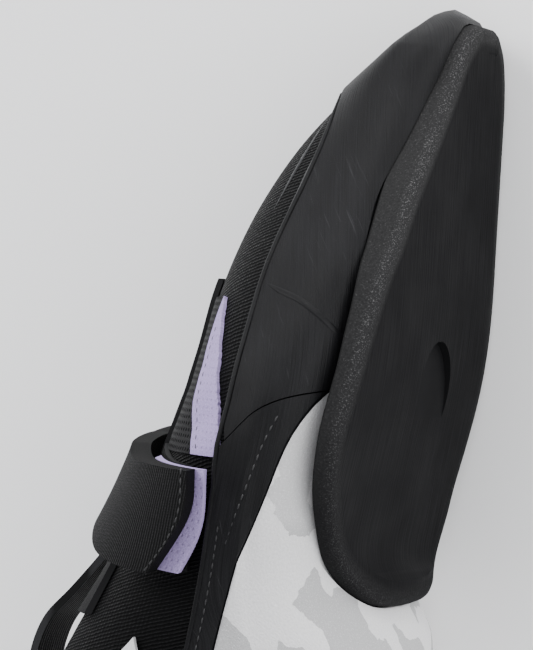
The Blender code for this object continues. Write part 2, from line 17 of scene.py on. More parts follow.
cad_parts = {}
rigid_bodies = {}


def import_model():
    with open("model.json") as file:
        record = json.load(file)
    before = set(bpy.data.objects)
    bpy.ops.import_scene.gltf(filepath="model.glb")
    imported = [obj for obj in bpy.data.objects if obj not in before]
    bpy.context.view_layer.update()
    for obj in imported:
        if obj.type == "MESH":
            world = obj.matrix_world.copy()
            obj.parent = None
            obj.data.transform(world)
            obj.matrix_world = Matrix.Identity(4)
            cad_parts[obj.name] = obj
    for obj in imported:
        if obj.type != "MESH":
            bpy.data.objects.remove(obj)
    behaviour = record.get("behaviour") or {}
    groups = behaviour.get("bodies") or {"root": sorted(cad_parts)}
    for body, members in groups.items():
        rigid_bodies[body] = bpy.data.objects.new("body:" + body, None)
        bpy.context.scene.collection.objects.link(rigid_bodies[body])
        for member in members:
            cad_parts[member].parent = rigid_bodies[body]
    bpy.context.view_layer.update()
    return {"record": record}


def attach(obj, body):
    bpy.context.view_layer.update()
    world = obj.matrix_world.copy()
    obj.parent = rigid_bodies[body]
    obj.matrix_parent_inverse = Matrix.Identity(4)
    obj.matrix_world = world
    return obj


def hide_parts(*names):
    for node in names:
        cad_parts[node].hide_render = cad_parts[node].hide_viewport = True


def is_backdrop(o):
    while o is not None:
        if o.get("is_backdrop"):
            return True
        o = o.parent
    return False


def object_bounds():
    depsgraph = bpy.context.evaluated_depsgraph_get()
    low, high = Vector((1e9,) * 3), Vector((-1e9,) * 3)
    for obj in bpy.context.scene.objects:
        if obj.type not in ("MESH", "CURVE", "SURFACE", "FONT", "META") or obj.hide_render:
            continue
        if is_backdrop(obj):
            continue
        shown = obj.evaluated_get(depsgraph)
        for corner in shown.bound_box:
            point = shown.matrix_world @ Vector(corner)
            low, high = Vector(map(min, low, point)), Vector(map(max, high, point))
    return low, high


for obj in list(bpy.data.objects):
    bpy.data.objects.remove(obj)
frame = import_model()

# %% [markdown]
# ## The shoe's own axes
# A shoe is easier to describe standing: toe tip at y = 0, heel towards -y, outer side at +x and the
# sole on z = 0. In the scene it lies on its inner side. The record's mount says where one point of
# the sole is and which way the sole faces, and that is enough to work out the turn.

# %% Turn and place from the record's mount
SOLE_POINT = Vector((-0.006, -0.050, 0.0))

mount = frame["record"]["mounts"][0]
down = Vector(mount["axis"]).normalized()
up_z = -down.z
slope = down.y / up_z
up_y = slope / math.sqrt(1 + slope ** 2)
UP = Vector((math.sqrt(1 - up_y ** 2 - up_z ** 2), up_y, up_z))
TOE = (Vector((0, 1, 0)) - UP * up_y).normalized()
TURN = Matrix((TOE.cross(UP), TOE, UP))
PLACE = Vector(mount["pos_m"]) - TURN @ SOLE_POINT
LYING = Matrix.Translation(PLACE) @ TURN.to_4x4()
print("roll onto the side", round(math.degrees(math.acos(UP.x)), 2), "degrees")

# %% [markdown]
# ## Sizes and the table of sections
# A last, the wooden or plastic foot that a shoe is built on, is measured in cross-sections. The same
# idea works here: each row is one section, written as shares of a few named sizes, and a smooth
# curve runs through the rows. Tables keep the shape easy to read and to change.

# %% Named sizes in metres
SHOE_LENGTH = 0.240
BALL_WIDTH = 0.080
INSTEP_HEIGHT = 0.090
HEEL_DROP = 0.004
ARCH_LIFT = 0.010
SOLE_THICKNESS = 0.0043
SOLE_EDGE = 0.0090
SOLE_LENGTH = 0.1254
UPPER_WALL = 0.0018
RAND = 0.0016
PANEL = 0.0011
BINDING = 0.0012
STRAP = 0.0040
STRAP_TAB = 0.0014
LOOP_PATCH = 0.0009
TONGUE = 0.0026
GAP = 0.0003
FORM_FLOOR = SOLE_THICKNESS + GAP
TAB_PROUD = GAP + max(BINDING, RAND) + GAP
STRAP_PROUD = TAB_PROUD + STRAP_TAB + GAP
FAR = 0.5

# %% Sections of the form, toe to heel
SECTION_COLUMNS = ("along", "inner", "outer", "ridge", "bottom", "widest", "top", "fullness")
SECTIONS = (
    (0.0000, -0.375, -0.265, -0.315, 0.30, 0.042, 0.056, 2.0),
    (0.0040, -0.415, -0.225, -0.310, 0.10, 0.050, 0.068, 2.0),
    (0.0150, -0.450, -0.148, -0.300, 0.00, 0.060, 0.080, 2.0),
    (0.0360, -0.470, -0.040, -0.280, 0.00, 0.080, 0.135, 2.0),
    (0.0750, -0.476, 0.030, -0.250, 0.00, 0.105, 0.250, 2.0),
    (0.1250, -0.476, 0.145, -0.205, 0.00, 0.130, 0.356, 1.9),
    (0.1870, -0.474, 0.290, -0.155, 0.00, 0.145, 0.438, 1.8),
    (0.2500, -0.472, 0.440, -0.120, 0.00, 0.155, 0.480, 1.8),
    (0.3120, -0.468, 0.545, -0.090, 0.08, 0.160, 0.500, 1.8),
    (0.3750, -0.464, 0.575, -0.065, 0.28, 0.185, 0.542, 1.8),
    (0.4370, -0.466, 0.552, -0.050, 0.50, 0.225, 0.605, 1.8),
    (0.5000, -0.480, 0.500, -0.035, 0.62, 0.260, 0.695, 1.85),
    (0.5620, -0.498, 0.465, -0.025, -0.10, 0.300, 0.800, 1.9),
    (0.6250, -0.505, 0.440, -0.010, -0.35, 0.335, 0.875, 2.1),
    (0.7000, -0.495, 0.425, 0.000, -0.45, 0.345, 0.915, 2.2),
    (0.7830, -0.450, 0.412, 0.000, -0.60, 0.335, 0.920, 2.2),
    (0.8580, -0.410, 0.392, 0.000, -0.75, 0.320, 0.905, 2.2),
    (0.9170, -0.350, 0.346, 0.000, -0.60, 0.285, 0.875, 2.2),
    (0.9620, -0.252, 0.256, 0.006, 0.05, 0.300, 0.820, 2.2),
    (0.9870, -0.145, 0.156, 0.010, 0.85, 0.310, 0.710, 2.1),
    (0.9980, -0.065, 0.080, 0.010, 1.70, 0.310, 0.510, 2.0),
    (1.0000, -0.030, 0.044, 0.008, 2.20, 0.310, 0.400, 2.0),
)
LAST_ROW = len(SECTIONS) - 1
SOLE_SQUARENESS = 3.2
print(len(SECTIONS), "sections")

# %% [markdown]
# ## Borders of the layers
# The edges of rubber, band and panels are drawn as an outline on the last before the sheet material
# is cut. Each border is a short list of points seen from the side (along, height) or from above
# (along, inner, outer), again as shares.

# %% Borders
SOLE_OUTLINE = (
    (0.008, -0.378, -0.270), (0.020, -0.420, -0.210), (0.060, -0.470, -0.125), (0.130, -0.496, -0.035),
    (0.215, -0.499, 0.080), (0.300, -0.499, 0.200), (0.390, -0.499, 0.310), (0.455, -0.499, 0.400),
    (0.560, -0.498, 0.495), (0.670, -0.484, 0.553), (0.740, -0.460, 0.556), (0.820, -0.428, 0.505),
    (0.910, -0.398, 0.370), (0.965, -0.350, 0.230), (0.992, -0.260, 0.110), (1.000, -0.120, 0.010),
)
RAND_TOP = (
    (0.030, 0.340), (0.055, 0.262), (0.075, 0.215), (0.110, 0.197), (0.155, 0.203), (0.200, 0.220),
    (0.250, 0.233), (0.345, 0.245), (0.395, 0.258), (0.430, 0.264), (0.520, 0.314), (0.625, 0.385),
    (0.750, 0.455), (0.875, 0.510), (1.030, 0.560),
)
PANEL_TOP = (
    (0.270, -0.140), (0.300, -0.030), (0.365, 0.090), (0.430, 0.165), (0.520, 0.250), (0.625, 0.315),
    (0.750, 0.370), (0.875, 0.420), (1.030, 0.460),
)
TOE_RAND_END = ((0.300, -0.200), (0.325, 0.000), (0.345, 0.150), (0.385, 0.270), (0.410, 0.400))
HEEL_CUP_FRONT = ((0.745, -0.300), (0.770, 0.000), (0.800, 0.250), (0.830, 0.520))
QUARTER_PANEL = (
    (0.556, 0.510), (0.590, 0.590), (0.640, 0.640), (0.700, 0.635), (0.780, 0.620), (0.850, 0.635),
    (0.900, 0.660), (0.905, 0.610), (0.840, 0.585), (0.740, 0.545), (0.640, 0.500), (0.590, 0.480),
)
COLLAR = (
    (0.545, 1.150), (0.560, 0.920), (0.585, 0.790), (0.640, 0.700), (0.720, 0.668), (0.800, 0.672),
    (0.870, 0.700), (0.930, 0.735), (0.970, 0.750), (1.060, 0.760),
)
THROAT = (
    (0.245, 0.030, 0.065), (0.265, -0.030, 0.090), (0.310, -0.130, 0.115), (0.375, -0.195, 0.150),
    (0.460, -0.225, 0.185), (0.560, -0.250, 0.215), (0.640, -0.270, 0.240),
)
STRAP_BAND = (
    (-0.560, 0.360, 0.425), (-0.250, 0.366, 0.430), (0.000, 0.376, 0.440), (0.250, 0.392, 0.466),
    (0.420, 0.402, 0.488), (0.600, 0.407, 0.500), (0.750, 0.410, 0.505),
)
STRAP_END = ((0.300, 0.275), (0.400, 0.282), (0.445, 0.292), (0.498, 0.395), (0.560, 0.520))
TAB_END = ((0.300, 0.258), (0.400, 0.264), (0.455, 0.274), (0.505, 0.352), (0.560, 0.450))
LOOP_PATCH_END = ((0.300, 0.330), (0.430, 0.335), (0.560, 0.350))
SOLE_SIDE = (
    (0.00, 0.95), (0.13, 0.90), (0.26, 0.88), (0.39, 0.76), (0.50, 0.60), (0.60, 0.52), (1.00, 0.50),
)
PULL_LOOP = (
    (0.484, 0.705), (0.500, 0.735), (0.529, 0.800), (0.554, 0.860), (0.580, 0.890), (0.603, 0.896),
    (0.617, 0.876), (0.618, 0.848),
)
print("borders ready")

# %% [markdown]
# Set beside the photograph, some of these borders lie a millimetre or two off: its rand dips more
# between toes and ball, and its strap ends higher. The tables stay those of the solids, and each
# small move is a named value in metres, which can be judged by eye.

# %% Small moves of the borders in metres
RAND_SAG = 0.0016
RAND_SAG_MIDDLE = 0.300
PANEL_SAG = 0.0014
PANEL_SAG_MIDDLE = 0.420
SAG_REACH = 0.070
TOE_END_BACK = 0.0012
STRAP_FRONT_BACK = 0.0020
STRAP_FRONT_SPAN = 0.250
STRAP_END_UP = 0.0022
TAB_END_UP = 0.0016
QUARTER_DOWN = 0.0018


def sagged(rows, depth, middle):
    """Rows of a side border, lowered round one place along it."""
    alongs = np.linspace(rows[0][0], rows[-1][0], 60)
    heights = np.interp(alongs, *zip(*rows))
    heights = heights - depth / INSTEP_HEIGHT * np.exp(-((alongs - middle) / SAG_REACH) ** 2)
    return list(zip(alongs, heights))


print("rand sags", RAND_SAG, "panel sags", PANEL_SAG)

# %% [markdown]
# ## Creases
# Knit and thin rubber over an empty shoe never lie perfectly smooth: they fold softly where the foot
# bends. Cloth simulation would give random folds, but the real ones are few and known, so each one
# is listed as a shallow trough or ridge that all layers share.

# %% Soft folds: along, turn round the form, direction, half length, half width, depth
CREASE_COLUMNS = ("along", "turn", "direction", "length", "width", "depth")
CREASES = (
    (0.330, 0.385, 70, 0.0160, 0.0022, -0.0002),
    (0.352, 0.350, 62, 0.0200, 0.0026, 0.0002),
    (0.372, 0.330, 66, 0.0190, 0.0024, -0.0003),
    (0.395, 0.315, 72, 0.0150, 0.0026, 0.0002),
    (0.300, 0.620, 110, 0.0150, 0.0024, -0.0006),
    (0.350, 0.640, 112, 0.0180, 0.0026, -0.0008),
    (0.400, 0.660, 104, 0.0160, 0.0028, -0.0006),
    (0.600, 0.300, 40, 0.0200, 0.0040, -0.0008),
    (0.680, 0.330, 20, 0.0260, 0.0050, -0.0010),
    (0.640, 0.690, 150, 0.0240, 0.0045, -0.0008),
    (0.530, 0.110, 80, 0.0120, 0.0030, -0.0004),
    (0.580, 0.130, 95, 0.0140, 0.0034, -0.0004),
    (0.460, 0.238, -6, 0.0280, 0.0020, 0.0012),
)
CREASE_RADIUS = 0.040


def crease_depth(y, angle):
    """Height of all folds at a place on the form."""
    total = np.zeros(np.broadcast(y, angle).shape)
    for row in CREASES:
        fold = dict(zip(CREASE_COLUMNS, row))
        way = math.radians(fold["direction"])
        a = -y - fold["along"] * SHOE_LENGTH
        b = (angle - fold["turn"] * 2 * math.pi) * CREASE_RADIUS
        lengthwise = a * math.cos(way) + b * math.sin(way)
        crosswise = b * math.cos(way) - a * math.sin(way)
        far = (lengthwise / fold["length"]) ** 2 + (crosswise / fold["width"]) ** 2
        total = total + fold["depth"] * np.exp(-far)
    return total


print(len(CREASES), "folds")

# %% [markdown]
# ## One smooth form
# Every layer lies on the same surface, so that surface is a function of two numbers: how far along
# the shoe (a row number) and how far round it (an angle, 0 under the foot, a quarter turn at the
# outer side). A loft through hand-drawn curves would work too, but a function can be asked for any
# point at any distance above the surface, which is what stacked layers need.

# %% Curves and sections for whole arrays
def through(rows, t):
    """Catmull-Rom values at row numbers t."""
    rows = np.array(rows, float)
    padded = np.vstack((2 * rows[0] - rows[1], rows, 2 * rows[-1] - rows[-2]))
    t = np.asarray(t, float)
    i = np.clip(np.floor(t).astype(int), 0, len(rows) - 2)
    f = (t - i)[..., None]
    p0, p1, p2, p3 = (padded[i + k] for k in range(4))
    curved = (2 * p0 - 5 * p1 + 4 * p2 - p3) * f ** 2 + (3 * p1 - p0 - 3 * p2 + p3) * f ** 3
    return 0.5 * (2 * p1 + (p2 - p0) * f + curved)


def smooth_rows(rows, steps=8):
    return through(rows, np.arange((len(rows) - 1) * steps + 1) / steps)


def section(t):
    """Sizes of the sections at row numbers t, in metres."""
    share = dict(zip(SECTION_COLUMNS, np.moveaxis(through(SECTIONS, t), -1, 0)))
    lift = np.where(share["bottom"] > 0, ARCH_LIFT, HEEL_DROP)
    return {
        "y": -share["along"] * SHOE_LENGTH,
        "inner": share["inner"] * BALL_WIDTH,
        "outer": share["outer"] * BALL_WIDTH,
        "ridge": share["ridge"] * BALL_WIDTH,
        "bottom": FORM_FLOOR + share["bottom"] * lift,
        "widest": FORM_FLOOR + share["widest"] * INSTEP_HEIGHT,
        "top": FORM_FLOOR + share["top"] * INSTEP_HEIGHT,
        "fullness": share["fullness"],
    }


# %% Points and normals of the form
def form_bare(t, angle):
    size = section(t)
    rise = -np.cos(angle)
    swing = np.sin(angle)
    side = np.where(swing >= 0, size["outer"], size["inner"])
    lower = rise < 0
    power = np.where(lower, 2 / SOLE_SQUARENESS, 2 / size["fullness"])
    middle = np.where(lower, (size["inner"] + size["outer"]) / 2, size["ridge"])
    height = np.where(lower, size["widest"] - size["bottom"], size["top"] - size["widest"])
    x = middle + (side - middle) * np.abs(swing) ** power
    z = size["widest"] + height * np.sign(rise) * np.abs(rise) ** power
    return np.stack(np.broadcast_arrays(x, size["y"] + 0 * z, z), axis=-1)


def form_normal(t, angle):
    step_t = 0.04
    step_angle = 0.02
    along = form_bare(np.minimum(t + step_t, LAST_ROW), angle) - form_bare(np.maximum(t - step_t, 0.0), angle)
    around = form_bare(t, angle + step_angle) - form_bare(t, angle - step_angle)
    normal = -np.cross(along, around)
    return normal / np.linalg.norm(normal, axis=-1, keepdims=True)


def form_point(t, angle, proud=0.0):
    """Points at a distance above the form, folds included."""
    bare = form_bare(t, angle)
    lift = proud + crease_depth(bare[..., 1], angle)
    return bare + form_normal(t, angle) * np.asarray(lift)[..., None]


# %% Finding a place on the form
ROW_GRID = np.linspace(0, LAST_ROW, 1200)
ALONG_GRID = section(ROW_GRID)["y"]


def row_at(y):
    """Row number of the section at y."""
    return np.interp(-np.asarray(y), -ALONG_GRID, ROW_GRID)


def angle_at_height(t, z, side, proud=0.0):
    """Angle at which the outer (side 1) or inner (side -1) wall has height z, at a distance above it."""
    angles = np.linspace(0.02, math.pi - 0.02, 240)
    found = []
    for row, height in zip(t, z):
        rows = np.full_like(angles, row)
        heights = form_bare(rows, side * angles)[:, 2] + proud * form_normal(rows, side * angles)[:, 2]
        found.append(side * np.interp(height, heights, angles))
    return np.mod(np.array(found), 2 * math.pi)


def angle_at_across(t, x):
    """Angle at which the upper half has sideways place x."""
    angles = np.linspace(math.pi / 2, 3 * math.pi / 2, 360)
    found = []
    for row, across in zip(t, x):
        places = form_bare(np.full_like(angles, row), angles)[:, 0]
        found.append(np.interp(-across, -places, angles))
    return np.array(found)


print("toe tip", form_bare(np.array([0.0]), np.array([0.0]))[0].round(4))

# %% [markdown]
# ## From form to solid
# A closed solid of the form, a bit larger or smaller, is the cutter and the blank for each layer. It
# carries two UV maps in metres: one unrolled from the ridge and one from under the foot, so knit,
# ribs and nap keep their real size on every piece that is cut from it.

# %% Mesh helpers
RING_POINTS = 144
RING_STEP = 0.0020


def stations(start, end):
    """Row numbers about RING_STEP apart."""
    low, high = section(np.array([start, end]))["y"]
    count = max(2, int(abs(high - low) / RING_STEP))
    even = row_at(np.linspace(low, high, count))
    rows = np.arange(math.ceil(start), math.floor(end) + 1)
    return np.unique(np.round(np.concatenate(([start], even, rows, [end])), 4))


def new_object(name, vertices, faces):
    mesh = bpy.data.meshes.new(name)
    mesh.from_pydata([tuple(v) for v in vertices], [], [tuple(f) for f in faces])
    mesh.validate()
    shape = bmesh.new()
    shape.from_mesh(mesh)
    bmesh.ops.recalc_face_normals(shape, faces=shape.faces)
    shape.to_mesh(mesh)
    shape.free()
    obj = bpy.data.objects.new(name, mesh)
    bpy.context.scene.collection.objects.link(obj)
    return obj


def add_map(mesh, name, corner_values):
    layer = mesh.uv_layers.new(name=name)
    layer.data.foreach_set("uv", np.asarray(corner_values, float).ravel())


def form(proud, start=0.0, end=float(LAST_ROW)):
    """Closed solid of the form with its two unrolled UV maps."""
    rows = stations(start, end)
    angles = np.arange(RING_POINTS) * 2 * math.pi / RING_POINTS
    points = form_point(rows[:, None], angles[None, :], proud)
    rings = len(rows)
    vertices = points.reshape(-1, 3)
    faces = []
    for ring in range(rings - 1):
        for k in range(RING_POINTS):
            a = ring * RING_POINTS + k
            b = ring * RING_POINTS + (k + 1) % RING_POINTS
            faces.append((a, b, b + RING_POINTS, a + RING_POINTS))
    ends = []
    for ring, stretch in ((0, 1.0), (rings - 1, -1.0)):
        centre = points[ring].mean(axis=0)
        centre[1] += stretch * proud * 0.5
        ends.append(centre)
        pole = len(vertices) + len(ends) - 1
        rim = ring * RING_POINTS
        faces += [(rim + k, rim + (k + 1) % RING_POINTS, pole) for k in range(RING_POINTS)]
    obj = new_object("form", np.vstack([vertices, ends]), faces)
    steps = np.linalg.norm(np.roll(points, -1, axis=1) - points, axis=2)
    girth = np.concatenate([np.zeros((rings, 1)), np.cumsum(steps, axis=1)], axis=1)
    unroll(obj.data, points[:, 0, 1], girth)
    return obj


def unroll(mesh, ring_y, girth):
    """Give each corner its distance along and round the form."""
    total = len(mesh.loops)
    corner_vertex = np.empty(total, int)
    mesh.loops.foreach_get("vertex_index", corner_vertex)
    starts = np.empty(len(mesh.polygons), int)
    mesh.polygons.foreach_get("loop_start", starts)
    face_of = np.searchsorted(starts, np.arange(total), side="right") - 1
    rings = len(ring_y)
    on_ring = corner_vertex < rings * RING_POINTS
    ring = np.where(on_ring, corner_vertex // RING_POINTS, 0)
    place = np.where(on_ring, corner_vertex % RING_POINTS, 0)
    highest = np.zeros(len(starts), int)
    np.maximum.at(highest, face_of, place)
    wraps = (highest[face_of] == RING_POINTS - 1) & (place == 0)
    place = np.where(wraps, RING_POINTS, place)
    along = -ring_y[ring]
    round_it = girth[ring, place]
    whole = girth[ring, -1]
    over = round_it - whole / 2
    under = np.where(highest[face_of] > RING_POINTS // 2, round_it - whole, round_it)
    add_map(mesh, "over", np.stack([along, over], axis=1))
    add_map(mesh, "under", np.stack([along, under], axis=1))


def prism(outline, axis, low, high):
    """Outline of pairs pushed along an axis: the pairs are the two other axes in order."""
    count = len(outline)
    vertices = []
    for level in (low, high):
        for a, b in outline:
            place = [a, b]
            place.insert("xyz".index(axis), level)
            vertices.append(place)
    faces = [tuple(range(count)), tuple(range(count, 2 * count))]
    for k in range(count):
        following = (k + 1) % count
        faces.append((k, following, following + count, k + count))
    return new_object("prism", vertices, faces)


def boolean(target, cutter, operation):
    modifier = target.modifiers.new("cut", "BOOLEAN")
    modifier.operation = operation
    modifier.object = cutter
    modifier.solver = "MANIFOLD"
    result = bpy.data.meshes.new_from_object(target.evaluated_get(bpy.context.evaluated_depsgraph_get()))
    target.modifiers.remove(modifier)
    target.data = result
    bpy.data.objects.remove(cutter)
    return target


def shell(inner, outer):
    return boolean(form(outer), form(inner), "DIFFERENCE")


def finish_piece(obj, name, replaces=None, smooth=35):
    """Name a piece, lay it down with the shoe and let it ride on the body."""
    obj.name = name
    obj.data.name = name
    obj.data.transform(LYING)
    obj.data.shade_smooth()
    obj.data.set_sharp_from_angle(angle=math.radians(smooth))
    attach(obj, "root")
    if replaces:
        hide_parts(replaces)
    print(name, len(obj.data.polygons), "faces")
    return obj


# %% [markdown]
# ## Outlines that several pieces share
# The sole, the throat and the side borders each cut more than one piece, so their outlines are
# functions with a margin. A neighbour that asks for the same outline, grown by the gap, always fits.

# %% Outline functions
NARROWEST = 0.002
THROAT_FLOOR = 0.300


def side_border(rows, steps=8):
    return [(-a * SHOE_LENGTH, FORM_FLOOR + h * INSTEP_HEIGHT) for a, h in smooth_rows(rows, steps)]


def sole_lift(y):
    """Height of the sole's underside at y."""
    toe_row = 2
    return section(np.maximum(row_at(y), toe_row))["bottom"] - FORM_FLOOR


def sole_side(y):
    """Height of the sole's side above its underside at y."""
    shares, heights = zip(*SOLE_SIDE)
    return np.interp(-np.asarray(y) / SOLE_LENGTH, shares, heights) * SOLE_EDGE


def sole_sides(margin, steps=8):
    """Inner and outer edge of the sole, toe to arch, grown by margin."""
    middle = 0.5 * SOLE_LENGTH
    inner = []
    outer = []
    for along, left, right in smooth_rows(SOLE_OUTLINE, steps):
        if (right - left) * BALL_WIDTH + 2 * margin < NARROWEST:
            continue
        y = -middle + (middle - along * SOLE_LENGTH) * (1 + margin / middle)
        inner.append((left * BALL_WIDTH - margin, y))
        outer.append((right * BALL_WIDTH + margin, y))
    return inner, outer


def sole_outline(margin, steps=8):
    inner, outer = sole_sides(margin, steps)
    return inner + outer[::-1]


def throat_outline(margin, first, last):
    rows = smooth_rows(THROAT)
    alongs = np.linspace(first, last, 60)
    left = np.interp(alongs, rows[:, 0], rows[:, 1]) * BALL_WIDTH - margin
    right = np.interp(alongs, rows[:, 0], rows[:, 2]) * BALL_WIDTH + margin
    y = -alongs * SHOE_LENGTH
    return list(zip(left, y)) + list(zip(right, y))[::-1]


def throat_prism(margin, first, last):
    return prism(throat_outline(margin, first, last), "z", FORM_FLOOR + THROAT_FLOOR * INSTEP_HEIGHT, FAR)


def sole_room(margin):
    """Space of the sole, for cutting its neighbours clear."""
    outline = np.array(sole_outline(margin))
    top = sole_lift(outline[:, 1]) + sole_side(outline[:, 1]) + margin
    count = len(outline)
    vertices = [(x, y, -FAR) for x, y in outline] + [(x, y, z) for (x, y), z in zip(outline, top)]
    rows = count // 2
    faces = []
    for k in range(rows - 1):
        far = count - 1 - k
        faces.append((k, k + 1, far - 1, far))
        faces.append((k + count, k + 1 + count, far - 1 + count, far + count))
    for k in range(count):
        following = (k + 1) % count
        faces.append((k, following, following + count, k + count))
    return new_object("room", vertices, faces)


print("sole edge at the arch", sole_sides(0.0)[0][-1])

# %% [markdown]
# ## The knitted upper and its felt insole
# A knitted sock is pulled over the last and everything else is glued on it. It is one hollow shell:
# the form minus a smaller form, opened at the collar, the throat and underneath. Solidify could
# thicken a single surface, but the two-form cut gives the wall without crossings at the toe.

# %% Upper, insole and collar edge
CAVITY_START = 2.0
CAVITY_END = LAST_ROW - 1.5
upper = boolean(form(0.0), form(-UPPER_WALL, CAVITY_START, CAVITY_END), "DIFFERENCE")
collar = side_border(COLLAR)
boolean(upper, prism(collar + [(collar[-1][0], FAR), (collar[0][0], FAR)], "x", -FAR, FAR), "DIFFERENCE")
boolean(upper, throat_prism(0.0, THROAT[0][0], THROAT[-1][0]), "DIFFERENCE")
SOLE_HOLE_MARGIN = 0.012
sole_hole_top = FORM_FLOOR + ARCH_LIFT + UPPER_WALL
sole_hole = prism(sole_outline(-SOLE_HOLE_MARGIN, 2), "z", -SOLE_THICKNESS, sole_hole_top)
boolean(upper, sole_hole, "DIFFERENCE")
finish_piece(upper, "knit_upper", "upper")

INSOLE = 0.0020
INSOLE_PLAY = 0.0009
INSOLE_INSET = UPPER_WALL + INSOLE_PLAY
LINER_START = 4.0
LINER_END = LAST_ROW - 3.0
board = form(-INSOLE_INSET, LINER_START, LINER_END)
board_rows = np.linspace(LINER_START, LINER_END, 80)
board_size = section(board_rows)
board_top = list(zip(board_size["y"], board_size["bottom"] + INSOLE_INSET + INSOLE))
board_room = board_top + [(board_top[-1][0], -FAR), (board_top[0][0], -FAR)]
boolean(board, prism(board_room, "x", -FAR, FAR), "INTERSECT")
finish_piece(board, "felt_insole", "insole")

# %% [markdown]
# ## The rubber half sole
# Rubber 4 mm thick is glued under toes and ball, then its edge is ground flush with the rand on a
# wheel, which leaves a rounded, rougher border. The sole is lofted as rings: each ring is the plan
# outline, drawn in a little and set at its own height. A Bevel modifier could round the edge, but
# the rings also carry a mask of where the wheel has been.

# %% Sole as rings
SOLE_PROFILE_COLUMNS = ("inset", "from_top", "rise", "ground")
SOLE_PROFILE = (
    (0.0004, 1.0, 0.0000, 0.4),
    (0.0000, 1.0, -0.0005, 0.5),
    (0.0000, 1.0, -0.0014, 0.5),
    (0.0000, 0.0, 0.0024, 0.6),
    (0.0003, 0.0, 0.0012, 1.0),
    (0.0009, 0.0, 0.0005, 1.0),
    (0.0018, 0.0, 0.0001, 0.8),
    (0.0055, 0.0, 0.0000, 0.0),
)
outline = np.array(sole_outline(0.0))
tangent = np.roll(outline, -1, axis=0) - np.roll(outline, 1, axis=0)
tangent /= np.linalg.norm(tangent, axis=1, keepdims=True)
outward = np.stack([tangent[:, 1], -tangent[:, 0]], axis=1)
outward *= np.sign((outward[:, 0] * (outline[:, 0] - outline[:, 0].mean())).sum())
base = sole_lift(outline[:, 1])
count = len(outline)
half = count // 2
vertices = []
ground = []
for row in SOLE_PROFILE:
    edge = dict(zip(SOLE_PROFILE_COLUMNS, row))
    drawn = outline - outward * edge["inset"]
    height = base + edge["from_top"] * sole_side(outline[:, 1]) + edge["rise"]
    vertices += list(np.column_stack([drawn, height]))
    ground += [edge["ground"]] * count
faces = []
for ring in range(len(SOLE_PROFILE) - 1):
    for k in range(count):
        following = (k + 1) % count
        a = ring * count
        faces.append((a + k, a + following, a + count + following, a + count + k))
for a in (0, (len(SOLE_PROFILE) - 1) * count):
    for k in range(half - 1):
        faces.append((a + k, a + k + 1, a + count - 2 - k, a + count - 1 - k))
sole = new_object("sole", vertices, faces)
corner = np.empty(len(sole.data.loops), int)
sole.data.loops.foreach_get("vertex_index", corner)
flat = np.array(vertices)[corner]
add_map(sole.data, "plan", flat[:, :2])
add_map(sole.data, "ground", np.column_stack([np.array(ground)[corner], flat[:, 2]]))
boolean(sole, form(GAP), "DIFFERENCE")

# %% Oval recess in the sole
RECESS_LENGTH = 0.0216
RECESS_WIDTH = 0.0190
RECESS_DEPTH = 0.0008
RECESS_ALONG = 0.080
RECESS_ACROSS = -0.0060
recess = []
for k in range(64):
    turn = 2 * math.pi * k / 64
    recess.append((RECESS_ACROSS + RECESS_WIDTH / 2 * math.cos(turn),
                   -RECESS_ALONG + RECESS_LENGTH / 2 * math.sin(turn)))
recess_floor = float(sole_lift(-RECESS_ALONG)) + RECESS_DEPTH
boolean(sole, prism(recess, "z", -FAR, recess_floor), "DIFFERENCE")
finish_piece(sole, "rubber_sole", "outsole", 30)

# %% [markdown]
# ## Rand, side band and panels
# Thin sheets cover the knit: a rubber rand round the toes, a satin band along the sides, suede under
# the arch and a rubber cup at the heel. On the real shoe each is cut flat and stretched on. Here each
# is a shell between two sizes of the form, kept only inside its border.

# %% Sheet pieces
def line_at(line, z):
    return float(np.interp(z, [point[1] for point in line], [point[0] for point in line]))


def cut_below(piece, border, low_x, high_x):
    """Take away what lies below a side border, between two places across."""
    below = border + [(border[-1][0], -FAR), (border[0][0], -FAR)]
    return boolean(piece, prism(below, "x", low_x, high_x), "DIFFERENCE")


def cut_clear(piece):
    return boolean(piece, sole_room(GAP), "DIFFERENCE")


rand_top = side_border(sagged(smooth_rows(RAND_TOP), RAND_SAG, RAND_SAG_MIDDLE), 1)
panel_top = side_border(sagged(smooth_rows(PANEL_TOP), PANEL_SAG, PANEL_SAG_MIDDLE), 1)
toe_end = [(y - TOE_END_BACK, z) for y, z in side_border(TOE_RAND_END)]
heel_front = side_border(HEEL_CUP_FRONT)

top = [point for point in rand_top if point[0] > line_at(toe_end, point[1])]
crossing = [point for point in toe_end if point[1] < top[-1][1]]
rand_room = [(FAR, -FAR), (FAR, top[0][1])] + top + crossing[::-1] + [(toe_end[0][0], -FAR)]
toe_rand = boolean(shell(GAP, GAP + RAND), prism(rand_room, "x", -FAR, FAR), "INTERSECT")
toe_rand = cut_clear(cut_below(toe_rand, panel_top, -FAR, FAR))
finish_piece(toe_rand, "rubber_toe_rand", "toe_rand")

high = [point for point in rand_top if point[0] < panel_top[0][0]]
side_band = boolean(shell(GAP, GAP + RAND), prism(panel_top + high[::-1], "x", -FAR, FAR), "INTERSECT")
joint = [(y - GAP, z) for y, z in toe_end]
ahead = [(FAR, -FAR), (FAR, FAR), (joint[-1][0], FAR)] + joint[::-1] + [(joint[0][0], -FAR)]
boolean(side_band, prism(ahead, "x", -FAR, FAR), "DIFFERENCE")
finish_piece(cut_clear(side_band), "satin_side_band", "side_band")

